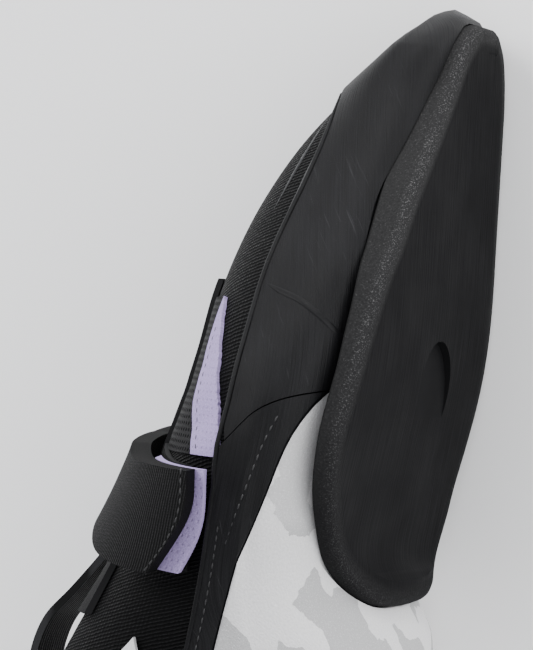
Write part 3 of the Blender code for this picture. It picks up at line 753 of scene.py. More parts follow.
roof = [(y, z - GAP) for y, z in panel_top if y > heel_front[-1][0]]
end = [point for point in heel_front if point[1] < roof[-1][1]]
arch_outline = [(roof[0][0], -FAR)] + roof + end[::-1] + [(end[0][0], -FAR)]
arch_panel = boolean(shell(GAP, GAP + PANEL), prism(arch_outline, "x", -FAR, FAR), "INTERSECT")
finish_piece(cut_clear(arch_panel), "suede_arch_panel", "arch_panel")

HEEL_CUP_GAP = 0.0005
start = [(y - HEEL_CUP_GAP, z) for y, z in heel_front]
roof = [(y, z - GAP) for y, z in panel_top if y < start[-1][0]]
start = [point for point in start if point[1] < roof[0][1]]
heel_outline = [(start[0][0], -FAR)] + start + roof + [(roof[-1][0], -FAR)]
heel_cup = boolean(shell(GAP, GAP + RAND), prism(heel_outline, "x", -FAR, FAR), "INTERSECT")
finish_piece(heel_cup, "rubber_heel_cup", "heel_cup")

quarter = [(y, z - QUARTER_DOWN) for y, z in side_border(QUARTER_PANEL)]
quarter_panel = boolean(shell(GAP, GAP + PANEL), prism(quarter, "x", 0.0, FAR), "INTERSECT")
finish_piece(quarter_panel, "suede_quarter_panel", "quarter_panel")

# %% [markdown]
# ## Tongue, throat edge and strap
# The tongue is a padded mesh layer inside the throat. A lilac strip binds the throat, and the wide
# strap crosses the instep onto a patch of hook-and-loop, with a lilac pull tab under its end. They
# are stacked layers too, each a little farther from the form than the last.

# %% Throat pieces
TONGUE_DEPTH = UPPER_WALL + 0.0006
TONGUE_REACH = 0.075
TONGUE_CORE_INSET = 0.5
TONGUE_START = 0.232
TONGUE_END = 0.632
core = form(-TONGUE_DEPTH - TONGUE, LINER_START + TONGUE_CORE_INSET, LINER_END - TONGUE_CORE_INSET)
tongue = boolean(form(-TONGUE_DEPTH, LINER_START, LINER_END), core, "DIFFERENCE")
boolean(tongue, throat_prism(TONGUE_REACH * BALL_WIDTH, TONGUE_START, TONGUE_END), "INTERSECT")
finish_piece(tongue, "padded_tongue", "tongue")

BINDING_WIDTH = 0.0055
BINDING_TIP = 0.008
BINDING_END = 0.545
binding_room = throat_prism(BINDING_WIDTH, THROAT[0][0], BINDING_END)
binding = boolean(shell(GAP, GAP + BINDING), binding_room, "INTERSECT")
boolean(binding, throat_prism(0.0, THROAT[0][0] + BINDING_TIP, 2 * BINDING_END), "DIFFERENCE")
finish_piece(binding, "lilac_throat_strip", "throat_binding")


# %% Strap, its tab and the patch below
STRAP_ROOT = -0.010
STRAP_MIDDLE = -0.200
STRAP_INNER_END = 0.480
OUTER_SIDE_START = 0.0031
TAB_HIDDEN_END = 0.470
PATCH_HIDDEN_END = 0.600


def strap_outline(first):
    rows = [row for row in smooth_rows(STRAP_BAND) if first <= row[0]]
    shares = [min(1.0, max(0.0, 1 - row[0] / STRAP_FRONT_SPAN)) for row in rows]
    front = [(row[0] * BALL_WIDTH, -row[1] * SHOE_LENGTH - STRAP_FRONT_BACK * share)
             for row, share in zip(rows, shares)]
    back = [(row[0] * BALL_WIDTH, -row[2] * SHOE_LENGTH) for row in rows]
    return front + back[::-1]


def raised(rows, lift):
    return [(y, z + lift) for y, z in side_border(rows)]


def outer_side_only(piece, border, high_share):
    """Keep what lies on the outer side between a side border and a height."""
    high = FORM_FLOOR + high_share * INSTEP_HEIGHT
    room = border + [(border[-1][0], high), (border[0][0], high)]
    return boolean(piece, prism(room, "x", OUTER_SIDE_START, FAR), "INTERSECT")


strap = shell(TAB_PROUD, STRAP_PROUD + STRAP)
right_half = prism([(STRAP_ROOT, -FAR), (FAR, -FAR), (FAR, FAR), (STRAP_ROOT, FAR)], "y", -FAR, FAR)
boolean(strap, boolean(form(STRAP_PROUD), right_half, "INTERSECT"), "DIFFERENCE")
boolean(strap, prism(strap_outline(-1.0), "z", -FAR, FAR), "INTERSECT")
inner_end = FORM_FLOOR + STRAP_INNER_END * INSTEP_HEIGHT
cut_below(strap, [(FAR, inner_end), (-FAR, inner_end)], -FAR, OUTER_SIDE_START)
cut_below(strap, raised(STRAP_END, STRAP_END_UP), OUTER_SIDE_START, FAR)
finish_piece(strap, "ribbed_strap", "strap")

tab_room = prism(strap_outline(STRAP_MIDDLE), "z", -FAR, FAR)
strap_tab = boolean(shell(TAB_PROUD, TAB_PROUD + STRAP_TAB), tab_room, "INTERSECT")
strap_tab = outer_side_only(strap_tab, raised(TAB_END, TAB_END_UP), TAB_HIDDEN_END)
finish_piece(strap_tab, "lilac_strap_tab", "strap_tab")

patch = boolean(shell(GAP, GAP + LOOP_PATCH), prism(strap_outline(STRAP_MIDDLE), "z", -FAR, FAR), "INTERSECT")
boolean(patch, throat_prism(BINDING_WIDTH + GAP, THROAT[0][0], THROAT[-1][0]), "DIFFERENCE")
patch = outer_side_only(patch, side_border(LOOP_PATCH_END), PATCH_HIDDEN_END)
finish_piece(patch, "pile_patch", "loop_patch")

# %% Pull loop
WEBBING = 0.0016
LOOP_WIDTH = 0.014
run = np.array(side_border(PULL_LOOP))
way = np.gradient(run, axis=0)
way /= np.linalg.norm(way, axis=1, keepdims=True)
far_side = run + np.column_stack([-way[:, 1], way[:, 0]]) * WEBBING
loop_outline = [tuple(p) for p in np.vstack([run, far_side[::-1]])]
loop = prism(loop_outline, "x", -LOOP_WIDTH / 2, LOOP_WIDTH / 2)
finish_piece(loop, "webbing_pull_loop", "tongue_loop")

# %% [markdown]
# ## Ways to build materials
# A material here is a small tree of nodes in front of the Principled shader. Effects that several
# materials need, such as ribs, grain or scratches, are node groups with named inputs. Painted images
# would fix their detail at one size, while these patterns are worked out in metres at any zoom.

# %% Node helpers
def add_node(tree, kind, inputs=None, **settings):
    made = tree.nodes.new(kind)
    for key, value in settings.items():
        setattr(made, key, value)
    for key, value in (inputs or {}).items():
        if isinstance(value, bpy.types.NodeSocket):
            tree.links.new(value, made.inputs[key])
        else:
            made.inputs[key].default_value = value
    return made


def calc(tree, operation, *values):
    return add_node(tree, "ShaderNodeMath", dict(enumerate(values)), operation=operation).outputs[0]


def remap(tree, value, low, high, to_low=0.0, to_high=1.0):
    inputs = {"Value": value, "From Min": low, "From Max": high, "To Min": to_low, "To Max": to_high}
    return add_node(tree, "ShaderNodeMapRange", inputs).outputs["Result"]


def mix(tree, factor, first, second):
    return add_node(tree, "ShaderNodeMix", {0: factor, 6: first, 7: second}, data_type="RGBA").outputs[2]


def noise(tree, vector, scale, detail=2.0):
    inputs = {"Vector": vector, "Scale": scale, "Detail": detail}
    return add_node(tree, "ShaderNodeTexNoise", inputs).outputs["Fac"]


def stretched(tree, vector, size_x, size_y):
    """The vector measured in its own unit along each axis."""
    parts = add_node(tree, "ShaderNodeSeparateXYZ", {0: vector}).outputs
    x = calc(tree, "DIVIDE", parts[0], size_x)
    y = calc(tree, "DIVIDE", parts[1], size_y)
    return add_node(tree, "ShaderNodeCombineXYZ", {0: x, 1: y}).outputs[0]


def new_group(name, inputs, outputs):
    """Empty shader group, with its input values and its output sockets."""
    tree = bpy.data.node_groups.new(name, "ShaderNodeTree")
    tree.interface.new_socket("Vector", in_out="INPUT", socket_type="NodeSocketVector")
    for label, value in inputs.items():
        socket = tree.interface.new_socket(label, in_out="INPUT", socket_type="NodeSocketFloat")
        socket.default_value = value
    for label in outputs:
        tree.interface.new_socket(label, in_out="OUTPUT", socket_type="NodeSocketFloat")
    return tree, tree.nodes.new("NodeGroupInput").outputs, tree.nodes.new("NodeGroupOutput").inputs


# %% Ribs: parallel ridges at a slant, slightly wavy
def make_ribs():
    inputs = {"Pitch": 0.001, "Slant": 0.0, "Waver": 0.0002}
    tree, given, result = new_group("ribs", inputs, ("Height", "Crest"))
    parts = add_node(tree, "ShaderNodeSeparateXYZ", {0: given["Vector"]}).outputs
    straight = calc(tree, "MULTIPLY", parts[0], calc(tree, "COSINE", given["Slant"]))
    leaning = calc(tree, "MULTIPLY", parts[1], calc(tree, "SINE", given["Slant"]))
    shift = calc(tree, "SUBTRACT", noise(tree, given["Vector"], 300.0), 0.5)
    place = calc(tree, "MULTIPLY_ADD", shift, given["Waver"], calc(tree, "ADD", straight, leaning))
    pitches = calc(tree, "DIVIDE", place, given["Pitch"])
    wave = calc(tree, "SINE", calc(tree, "MULTIPLY", pitches, 2 * math.pi))
    tree.links.new(remap(tree, wave, -1.0, 1.0), result["Height"])
    tree.links.new(remap(tree, wave, 0.1, 0.95), result["Crest"])
    return tree


# %% Grain, strokes, blocks and dots
def make_grain():
    """Soft lumps of a size, and sparse specks."""
    tree, given, result = new_group("grain", {"Size": 0.0003, "Sparse": 0.62}, ("Height", "Speck"))
    scale = calc(tree, "DIVIDE", 1.0, given["Size"])
    lumps = noise(tree, given["Vector"], scale, 4.0)
    fine = noise(tree, given["Vector"], calc(tree, "MULTIPLY", scale, 1.7), 1.0)
    tree.links.new(lumps, result["Height"])
    full = calc(tree, "ADD", given["Sparse"], 0.06)
    tree.links.new(remap(tree, fine, given["Sparse"], full), result["Speck"])
    return tree


def make_strokes():
    """Marks drawn out along one axis, and the thin ones that cut deepest."""
    tree, given, result = new_group("strokes", {"Size X": 0.01, "Size Y": 0.0004}, ("Height", "Scratch"))
    lines = noise(tree, stretched(tree, given["Vector"], given["Size X"], given["Size Y"]), 1.0, 3.0)
    tree.links.new(remap(tree, lines, 0.25, 0.75), result["Height"])
    tree.links.new(remap(tree, lines, 0.64, 0.72), result["Scratch"])
    return tree


def make_blocks():
    """Angular patches with a torn edge."""
    tree, given, result = new_group("blocks", {"Size": 0.02, "Torn": 0.1}, ("Patch",))
    unit = stretched(tree, given["Vector"], given["Size"], given["Size"])
    torn_look = {"Vector": unit, "Scale": 7.0, "Detail": 4.0}
    torn = add_node(tree, "ShaderNodeTexNoise", torn_look).outputs["Color"]
    centred = add_node(tree, "ShaderNodeVectorMath", {0: torn, 1: (0.5, 0.5, 0.5)}, operation="SUBTRACT")
    inputs = {0: centred.outputs[0], "Scale": given["Torn"]}
    moved = add_node(tree, "ShaderNodeVectorMath", inputs, operation="SCALE").outputs[0]
    place = add_node(tree, "ShaderNodeVectorMath", {0: unit, 1: moved}, operation="ADD").outputs[0]
    flat_cells = {"voronoi_dimensions": "2D", "distance": "CHEBYCHEV"}
    cells = add_node(tree, "ShaderNodeTexVoronoi", {"Vector": place, "Scale": 1.0}, **flat_cells)
    tone = add_node(tree, "ShaderNodeSeparateColor", {0: cells.outputs["Color"]}).outputs[0]
    tree.links.new(remap(tree, tone, 0.46, 0.50), result["Patch"])
    return tree


def make_dots():
    """Rows of small round marks, every other row shifted by half a step."""
    tree, given, result = new_group("dots", {"Pitch": 0.001, "Radius": 0.3}, ("Dot",))
    parts = add_node(tree, "ShaderNodeSeparateXYZ", {0: given["Vector"]}).outputs
    row = calc(tree, "DIVIDE", parts[0], given["Pitch"])
    half = calc(tree, "MULTIPLY", calc(tree, "MODULO", calc(tree, "FLOOR", row), 2.0), 0.5)
    column = calc(tree, "ADD", calc(tree, "DIVIDE", parts[1], given["Pitch"]), half)
    x = calc(tree, "SUBTRACT", calc(tree, "FRACT", row), 0.5)
    y = calc(tree, "SUBTRACT", calc(tree, "FRACT", column), 0.5)
    far = calc(tree, "SQRT", calc(tree, "MULTIPLY_ADD", x, x, calc(tree, "MULTIPLY", y, y)))
    core = calc(tree, "MULTIPLY", given["Radius"], 0.5)
    tree.links.new(remap(tree, far, given["Radius"], core), result["Dot"])
    return tree


RIBS = make_ribs()
GRAIN = make_grain()
STROKES = make_strokes()
BLOCKS = make_blocks()
DOTS = make_dots()
print("shared effects", [group.name for group in (RIBS, GRAIN, STROKES, BLOCKS, DOTS)])


# %% Starting and closing a material
def new_material(name, uv_map, constants):
    made = bpy.data.materials.new(name)
    made.use_nodes = True
    tree = made.node_tree
    shader = tree.nodes["Principled BSDF"]
    for key, value in constants.items():
        shader.inputs[key].default_value = value
    place = add_node(tree, "ShaderNodeUVMap", uv_map=uv_map).outputs[0]
    return made, tree, shader, place


def effect(tree, group, vector, **inputs):
    named = {key.replace("_", " "): value for key, value in inputs.items()}
    return add_node(tree, "ShaderNodeGroup", {"Vector": vector, **named}, node_tree=group).outputs


def finish_material(tree, shader, colour, roughness, bumps):
    """Link colour, roughness and a chain of bumps, each a height and its depth in metres."""
    tree.links.new(colour, shader.inputs["Base Color"])
    tree.links.new(roughness, shader.inputs["Roughness"])
    chain = {}
    for height, depth in bumps:
        bump = add_node(tree, "ShaderNodeBump", {"Height": height, "Distance": depth, **chain})
        chain = {"Normal": bump.outputs[0]}
    tree.links.new(chain["Normal"], shader.inputs["Normal"])


# %% [markdown]
# ## Rubber
# Sole and rand are the same sticky black rubber. The sole's underside is smooth from the mould, its
# edge is rough where the wheel ground it and pale from that wear and from painted highlight, its side
# face is painted lighter towards the toe, and the rand was buffed lengthwise before gluing, which
# leaves fine lines and a few crossing scratches.

# %% Sole rubber
sole_rubber, tree, shader, plan = new_material("sole rubber", "plan", {"Specular IOR Level": 0.02})
ground_map = add_node(tree, "ShaderNodeUVMap", uv_map="ground").outputs[0]
wheel = add_node(tree, "ShaderNodeSeparateXYZ", {0: ground_map}).outputs[0]
spot = add_node(tree, "ShaderNodeTexCoord").outputs["Object"]
grit = effect(tree, GRAIN, spot, Size=0.00045, Sparse=0.60)
cloud = noise(tree, spot, 60.0, 3.0)
brushed = effect(tree, STROKES, plan, Size_X=0.0007, Size_Y=0.020)
towards_toe = add_node(tree, "ShaderNodeSeparateXYZ", {0: plan}).outputs[1]
# The side face grows lighter towards the toe: painted light laid over its dust.
painted_light_to_toe = remap(tree, towards_toe, -0.105, -0.035, 0.30, 1.0)
# The pale band and bright flecks along the rounded lower edge are grinding wear and painted highlight
# together.
grinding_and_highlight_band = remap(tree, calc(tree, "MULTIPLY_ADD", grit["Height"], 1.2, wheel), 1.10, 1.80)
wear_and_painted_highlight = calc(tree, "MULTIPLY", grinding_and_highlight_band, painted_light_to_toe)
side = remap(tree, wheel, 0.2, 0.5)
clean = mix(tree, brushed["Height"], (0.0045, 0.0045, 0.0048, 1), (0.0092, 0.0092, 0.0098, 1))
dark_dust = mix(tree, grit["Height"], (0.0040, 0.0040, 0.0044, 1), (0.0130, 0.0130, 0.0135, 1))
dust_in_painted_light = mix(tree, grit["Height"], (0.0120, 0.0120, 0.0125, 1), (0.0320, 0.0320, 0.0320, 1))
dust_and_painted_light = mix(tree, painted_light_to_toe, dark_dust, dust_in_painted_light)
colour = mix(tree, side, clean, dust_and_painted_light)
colour = mix(tree, calc(tree, "MULTIPLY", wear_and_painted_highlight, cloud), colour, (0.026, 0.026, 0.027, 1))
flecks_and_painted_glints = calc(tree, "MULTIPLY", grit["Speck"], wear_and_painted_highlight)
colour = mix(tree, flecks_and_painted_glints, colour, (0.13, 0.13, 0.13, 1))
rough = remap(tree, calc(tree, "MULTIPLY_ADD", side, 0.6, cloud), 0.3, 1.2, 0.56, 0.90)
finish_material(tree, shader, colour, rough, (
    (brushed["Height"], 0.00004),
    (calc(tree, "MULTIPLY", grit["Height"], side), 0.00022),
))

# %% Rand rubber
rand_rubber, tree, shader, place = new_material("rand rubber", "under", {"Specular IOR Level": 0.12})
buffed = effect(tree, STROKES, place, Size_X=0.016, Size_Y=0.00032)
askew = {"Vector": place, "Angle": math.radians(24)}
askew_place = add_node(tree, "ShaderNodeVectorRotate", askew, rotation_type="Z_AXIS").outputs[0]
crossing = effect(tree, STROKES, askew_place, Size_X=0.012, Size_Y=0.0007)
pores = effect(tree, GRAIN, place, Size=0.00030, Sparse=0.66)
cloud = noise(tree, place, 45.0, 3.0)
colour = mix(tree, buffed["Height"], (0.0022, 0.0022, 0.0025, 1), (0.0105, 0.0105, 0.0118, 1))
colour = mix(tree, remap(tree, cloud, 0.40, 0.62, 0.55, 0.0), colour, (0.0020, 0.0020, 0.0023, 1))
scratched = calc(tree, "MULTIPLY", crossing["Scratch"], remap(tree, cloud, 0.42, 0.56))
colour = mix(tree, calc(tree, "MULTIPLY", scratched, 0.5), colour, (0.036, 0.036, 0.039, 1))
colour = mix(tree, calc(tree, "MULTIPLY", pores["Speck"], 0.35), colour, (0.045, 0.045, 0.046, 1))
rough = remap(tree, calc(tree, "MULTIPLY_ADD", buffed["Height"], 0.5, cloud), 0.3, 1.1, 0.36, 0.62)
finish_material(tree, shader, colour, rough, (
    (buffed["Height"], 0.00007),
    (crossing["Scratch"], 0.00004),
    (pores["Height"], 0.00003),
))

# %% [markdown]
# ## Cloth
# The knit has shiny yarn in slanted ribs, the tongue is an open mesh of round holes, and the strap is
# woven in fine cords along the shoe. All three are black, so gloss tells them apart: each rib's crest
# is smoother than its valley.

# %% Knit, mesh and strap weave
knit, tree, shader, place = new_material("black knit", "over", {"Specular IOR Level": 0.08})
yarn = effect(tree, RIBS, place, Pitch=0.00085, Slant=math.radians(-17), Waver=0.0005)
loops = effect(tree, RIBS, place, Pitch=0.0011, Slant=math.radians(73), Waver=0.0010)
fuzz = effect(tree, GRAIN, place, Size=0.0004, Sparse=0.60)
shine = calc(tree, "MULTIPLY", yarn["Crest"], remap(tree, fuzz["Height"], 0.35, 0.62))
colour = mix(tree, shine, (0.0008, 0.0008, 0.0009, 1), (0.0058, 0.0058, 0.0066, 1))
rough = remap(tree, shine, 0.0, 1.0, 0.80, 0.28)
finish_material(tree, shader, colour, rough, (
    (yarn["Height"], 0.00022),
    (loops["Height"], 0.00005),
    (fuzz["Height"], 0.00005),
))

mesh_cloth, tree, shader, place = new_material("black mesh", "over", {"Specular IOR Level": 0.08})
holes = effect(tree, DOTS, place, Pitch=0.0013, Radius=0.36)
fuzz = effect(tree, GRAIN, place, Size=0.0003, Sparse=0.58)
colour = mix(tree, holes["Dot"], (0.0048, 0.0048, 0.0053, 1), (0.0006, 0.0006, 0.0007, 1))
colour = mix(tree, calc(tree, "MULTIPLY", fuzz["Speck"], 0.5), colour, (0.034, 0.033, 0.038, 1))
rough = remap(tree, holes["Dot"], 0.0, 1.0, 0.62, 0.95)
finish_material(tree, shader, colour, rough, (
    (calc(tree, "SUBTRACT", 1.0, holes["Dot"]), 0.00030),
    (fuzz["Height"], 0.00010),
))

weave, tree, shader, place = new_material("strap weave", "over", {"Specular IOR Level": 0.12})
spot = add_node(tree, "ShaderNodeTexCoord").outputs["Object"]
cords = effect(tree, RIBS, place, Pitch=0.00075, Slant=math.radians(84), Waver=0.0002)
picks = effect(tree, RIBS, place, Pitch=0.00055, Slant=math.radians(-6), Waver=0.0002)
fuzz = effect(tree, GRAIN, spot, Size=0.0003, Sparse=0.60)
shine = calc(tree, "MULTIPLY", cords["Crest"], remap(tree, picks["Height"], 0.0, 0.6, 0.6, 1.0))
shine = calc(tree, "MULTIPLY", shine, remap(tree, fuzz["Height"], 0.35, 0.6, 0.3, 1.0))
colour = mix(tree, shine, (0.0012, 0.0012, 0.0013, 1), (0.0120, 0.0120, 0.0130, 1))
rough = remap(tree, shine, 0.0, 1.0, 0.80, 0.42)
finish_material(tree, shader, colour, rough, (
    (cords["Height"], 0.00018),
    (picks["Height"], 0.00003),
    (fuzz["Height"], 0.00012),
))

webbing, tree, shader, _ = new_material("webbing", "over", {"Specular IOR Level": 0.20})
spot = add_node(tree, "ShaderNodeTexCoord").outputs["Object"]
quarter_turn = {"Vector": spot, "Angle": math.pi / 2}
turned_spot = add_node(tree, "ShaderNodeVectorRotate", quarter_turn, rotation_type="Y_AXIS").outputs[0]
cords = effect(tree, RIBS, turned_spot, Pitch=0.0011, Slant=0.0, Waver=0.0002)
fuzz = effect(tree, GRAIN, spot, Size=0.0003, Sparse=0.60)
colour = mix(tree, cords["Crest"], (0.0022, 0.0022, 0.0025, 1), (0.0120, 0.0120, 0.0135, 1))
rough = remap(tree, cords["Crest"], 0.0, 1.0, 0.85, 0.50)
finish_material(tree, shader, colour, rough, (
    (cords["Height"], 0.00025),
    (fuzz["Height"], 0.00010),
))

# %% [markdown]
# ## Suede, lilac microfibre and felt
# The suede is printed in two pale greys with torn, angular borders, and its nap gives a fine uneven
# grain. The lilac strips are dense microfibre with a soft, dimpled face. The insole is plain felt.

# %% Pale and coloured layers
LILAC_DEEP = (0.28, 0.215, 0.430, 1)
LILAC_PALE = (0.43, 0.345, 0.600, 1)

soft_gloss = {"Specular IOR Level": 0.2, "Sheen Weight": 0.15}
suede, tree, shader, place = new_material("two-tone suede", "under", soft_gloss)
camo = effect(tree, BLOCKS, place, Size=0.0110, Torn=0.15)
nap = effect(tree, GRAIN, place, Size=0.00050, Sparse=0.60)
brushed = noise(tree, place, 160.0, 3.0)
along = add_node(tree, "ShaderNodeSeparateXYZ", {0: place}).outputs[0]
plain = remap(tree, along, 0.106, 0.110, 0.35, 0.0)
tone = calc(tree, "MAXIMUM", plain, camo["Patch"])
colour = mix(tree, tone, (0.400, 0.400, 0.404, 1), (0.700, 0.695, 0.700, 1))
colour = mix(tree, remap(tree, nap["Height"], 0.35, 0.65, 0.0, 0.16), colour, (0.24, 0.24, 0.243, 1))
colour = mix(tree, calc(tree, "MULTIPLY", nap["Speck"], 0.30), colour, (0.85, 0.85, 0.85, 1))
rough = remap(tree, brushed, 0.3, 0.7, 0.82, 1.0)
finish_material(tree, shader, colour, rough, (
    (nap["Height"], 0.00022),
    (camo["Patch"], 0.00005),
))

lilac, tree, shader, place = new_material("lilac microfibre", "over", {"Specular IOR Level": 0.3})
dimples = effect(tree, DOTS, place, Pitch=0.0016, Radius=0.22)
nap = effect(tree, GRAIN, place, Size=0.00035, Sparse=0.60)
colour = mix(tree, remap(tree, nap["Height"], 0.3, 0.7), LILAC_DEEP, LILAC_PALE)
colour = mix(tree, calc(tree, "MULTIPLY", dimples["Dot"], 0.35), colour, (0.24, 0.19, 0.33, 1))
rough = remap(tree, nap["Height"], 0.3, 0.7, 0.70, 0.92)
finish_material(tree, shader, colour, rough, (
    (calc(tree, "SUBTRACT", 1.0, dimples["Dot"]), 0.00010),
    (nap["Height"], 0.00012),
))

lilac_with_painted_shade, tree, shader, place = new_material("lilac strip with painted shade", "over", {"Specular IOR Level": 0.15})
round_it = add_node(tree, "ShaderNodeSeparateXYZ", {0: place}).outputs[1]
nap = effect(tree, GRAIN, place, Size=0.00035, Sparse=0.60)
# Along one side the strip is near-black: painted shade over the lilac, which shows only past that band.
dyed = remap(tree, round_it, 0.001, 0.002)
soft = mix(tree, remap(tree, nap["Height"], 0.3, 0.7), LILAC_DEEP, LILAC_PALE)
black = mix(tree, nap["Height"], (0.0015, 0.0015, 0.0017, 1), (0.0090, 0.0090, 0.0100, 1))
rough = remap(tree, nap["Height"], 0.3, 0.7, 0.70, 0.92)
finish_material(tree, shader, mix(tree, dyed, black, soft), rough, ((nap["Height"], 0.00015),))

felt, tree, shader, place = new_material("felt", "under", {"Specular IOR Level": 0.2})
hair = effect(tree, GRAIN, place, Size=0.00060, Sparse=0.60)
colour = mix(tree, hair["Height"], (0.035, 0.035, 0.040, 1), (0.110, 0.110, 0.118, 1))
rough = remap(tree, hair["Height"], 0.3, 0.7, 0.80, 1.0)
finish_material(tree, shader, colour, rough, ((hair["Height"], 0.00030),))

# %% Put the materials on
MATERIALS = {
    "knit_upper": knit, "felt_insole": felt, "rubber_sole": sole_rubber, "rubber_toe_rand": rand_rubber,
    "satin_side_band": rand_rubber, "suede_arch_panel": suede, "rubber_heel_cup": rand_rubber,
    "suede_quarter_panel": suede, "padded_tongue": mesh_cloth, "lilac_throat_strip": lilac_with_painted_shade,
    "ribbed_strap": weave, "lilac_strap_tab": lilac, "pile_patch": mesh_cloth, "webbing_pull_loop": webbing,
}


def dress(piece, made):
    piece.data.materials.clear()
    piece.data.materials.append(made)


for name, made in MATERIALS.items():
    dress(bpy.data.objects[name], made)
print("dressed", len(MATERIALS), "pieces")

# %% [markdown]
# The inner faces of the knitted sock take the paler felt, as painted light: without it the inside lies
# black in shade. A second sheet would double the wall, so the inner faces of the same shell take the
# felt: they are the ones whose normals point towards the foot.

# %% Paler felt on the upper's inner faces, as painted light
knit_mesh = bpy.data.objects["knit_upper"].data
knit_mesh.materials.append(felt)
standing = LYING.inverted()
lightened = 0
# Faces that look towards the foot take the paler felt: painted light for the shaded inside.
for face in knit_mesh.polygons:
    centre = standing @ face.center
    facing = standing.to_3x3() @ face.normal
    size = section(row_at(centre.y))
    middle = float(size["inner"] + size["outer"]) / 2
    outwards = Vector((centre.x - middle, 0, centre.z - float(size["widest"])))
    if facing.dot(outwards) < 0:
        face.material_index = 1
        lightened += 1
print(lightened, "inner faces lined")

# %% [markdown]
# ## Raised edges
# Rubber sheet never ends flush: its cut edge stands up as a thin shiny lip, and two lips mark where
# one sheet laps over another. Each lip is a half-round strip swept along a border on the form. A
# curve object with a bevel would sweep too, but here the strip can take its normals from the form.

# %% Strips along a border
STRIP_SIDES = 10


def line_places(line, side, proud=0.0):
    """Row numbers and angles of a side line of (y, z) points on one side of the form."""
    line = np.array(line)
    t = row_at(line[:, 0])
    return t, angle_at_height(t, line[:, 1], side, proud)


def line_height(line, y):
    return np.interp(-y, [-point[0] for point in line], [point[1] for point in line])


def part_of(line, first, last, lift=0.0):
    """Points of a side line between two shares along, moved up or down."""
    return [(y, z + lift) for y, z in line if first <= -y / SHOE_LENGTH <= last]


def strip(name, t, angle, proud, width, height, made):
    """Half-round strip along places on the form."""
    run = form_point(t, angle, proud)
    up = form_normal(t, angle)
    way = np.gradient(run, axis=0)
    way /= np.linalg.norm(way, axis=1, keepdims=True)
    sideways_way = np.cross(way, up)
    taper = np.minimum(1.0, np.minimum(np.arange(len(run)), np.arange(len(run))[::-1]) / 4 + 0.15)
    turns = np.arange(STRIP_SIDES) * 2 * math.pi / STRIP_SIDES
    across = np.cos(turns)[None, :, None] * sideways_way[:, None, :] * width / 2
    upward = np.sin(turns)[None, :, None] * up[:, None, :] * height
    points = run[:, None, :] + (across + upward) * taper[:, None, None]
    faces = []
    for ring in range(len(run) - 1):
        for k in range(STRIP_SIDES):
            a = ring * STRIP_SIDES + k
            b = ring * STRIP_SIDES + (k + 1) % STRIP_SIDES
            faces.append((a, b, b + STRIP_SIDES, a + STRIP_SIDES))
    total = len(run) * STRIP_SIDES
    faces += [tuple(range(STRIP_SIDES)), tuple(range(total - STRIP_SIDES, total))]
    obj = new_object(name, points.reshape(-1, 3), faces)
    corner = np.empty(len(obj.data.loops), int)
    obj.data.loops.foreach_get("vertex_index", corner)
    length = np.concatenate([[0], np.cumsum(np.linalg.norm(np.diff(run, axis=0), axis=1))])
    values = np.column_stack([length[corner // STRIP_SIDES], (corner % STRIP_SIDES) * width / STRIP_SIDES])
    add_map(obj.data, "over", values)
    add_map(obj.data, "under", values)
    dress(obj, made)
    return finish_piece(obj, name)


LIP_WIDTH = 0.0011
LIP_HEIGHT = 0.00045
LIP_START = 0.055
LIP_END = 0.875
LAP_FRONT = 0.250
LAP_REAR = 0.330
LAP_WIDTH = 0.0016
LAP_HEIGHT = 0.00030
RIDGE_START = 0.085
RIDGE_END = 0.190
RIDGE_WIDTH = 0.0012
RIDGE_HEIGHT = 0.00045
SUNK = 0.0001
RIDGES_ABOVE_LIP = (0.050, 0.018)
film, tree, shader, place = new_material("welded film", "over", {"Specular IOR Level": 0.5})
wear = effect(tree, GRAIN, place, Size=0.0012, Sparse=0.6)
colour = mix(tree, wear["Height"], (0.004, 0.004, 0.005, 1), (0.016, 0.017, 0.020, 1))
rough = remap(tree, wear["Height"], 0.3, 0.7, 0.22, 0.55)
finish_material(tree, shader, colour, rough, ((wear["Height"], 0.00012),))
lip_proud = GAP + RAND - SUNK
for side, label in ((1, "outer"), (-1, "inner")):
    t, angle = line_places(part_of(rand_top, LIP_START, LIP_END), side)
    strip("rand_lip_" + label, t, angle, lip_proud, LIP_WIDTH, LIP_HEIGHT, rand_rubber)

lap_y = -np.linspace(LAP_FRONT, LAP_REAR, 30) * SHOE_LENGTH
t = row_at(lap_y)
above = angle_at_height(t, [line_height(rand_top, y) for y in lap_y], 1)
below = angle_at_height(t, [line_height(panel_top, y) for y in lap_y], 1)
share = np.linspace(0, 1, len(t))
lap_angle = above * (1 - share) + below * share
strip("rand_lap", t, lap_angle, lip_proud, LAP_WIDTH, LAP_HEIGHT, rand_rubber)
t, angle = line_places(part_of(rand_top, RIDGE_START, RIDGE_END), 1)
for k, turn in enumerate(RIDGES_ABOVE_LIP):
    ridge_angle = angle + turn * 2 * math.pi
    strip("vamp_ridge_" + str(k), t, ridge_angle, 0.0, RIDGE_WIDTH, RIDGE_HEIGHT, film)

# %% [markdown]
# ## Throat facing and mesh gusset
# On the outer side a lilac facing widens towards the strap, with open mesh between it and the throat
# edge. Both are thin sheets between two borders on the form. The facing is a wedge between a tip and
# an end, given as turns round the form, with its throat side bowed out. Its outer edge is cut by hand
# and slightly ragged, so a seeded noise moves it a little.

# %% Sheets between two borders on the form
SHEET_POINTS = 16
RADIUS = 0.035


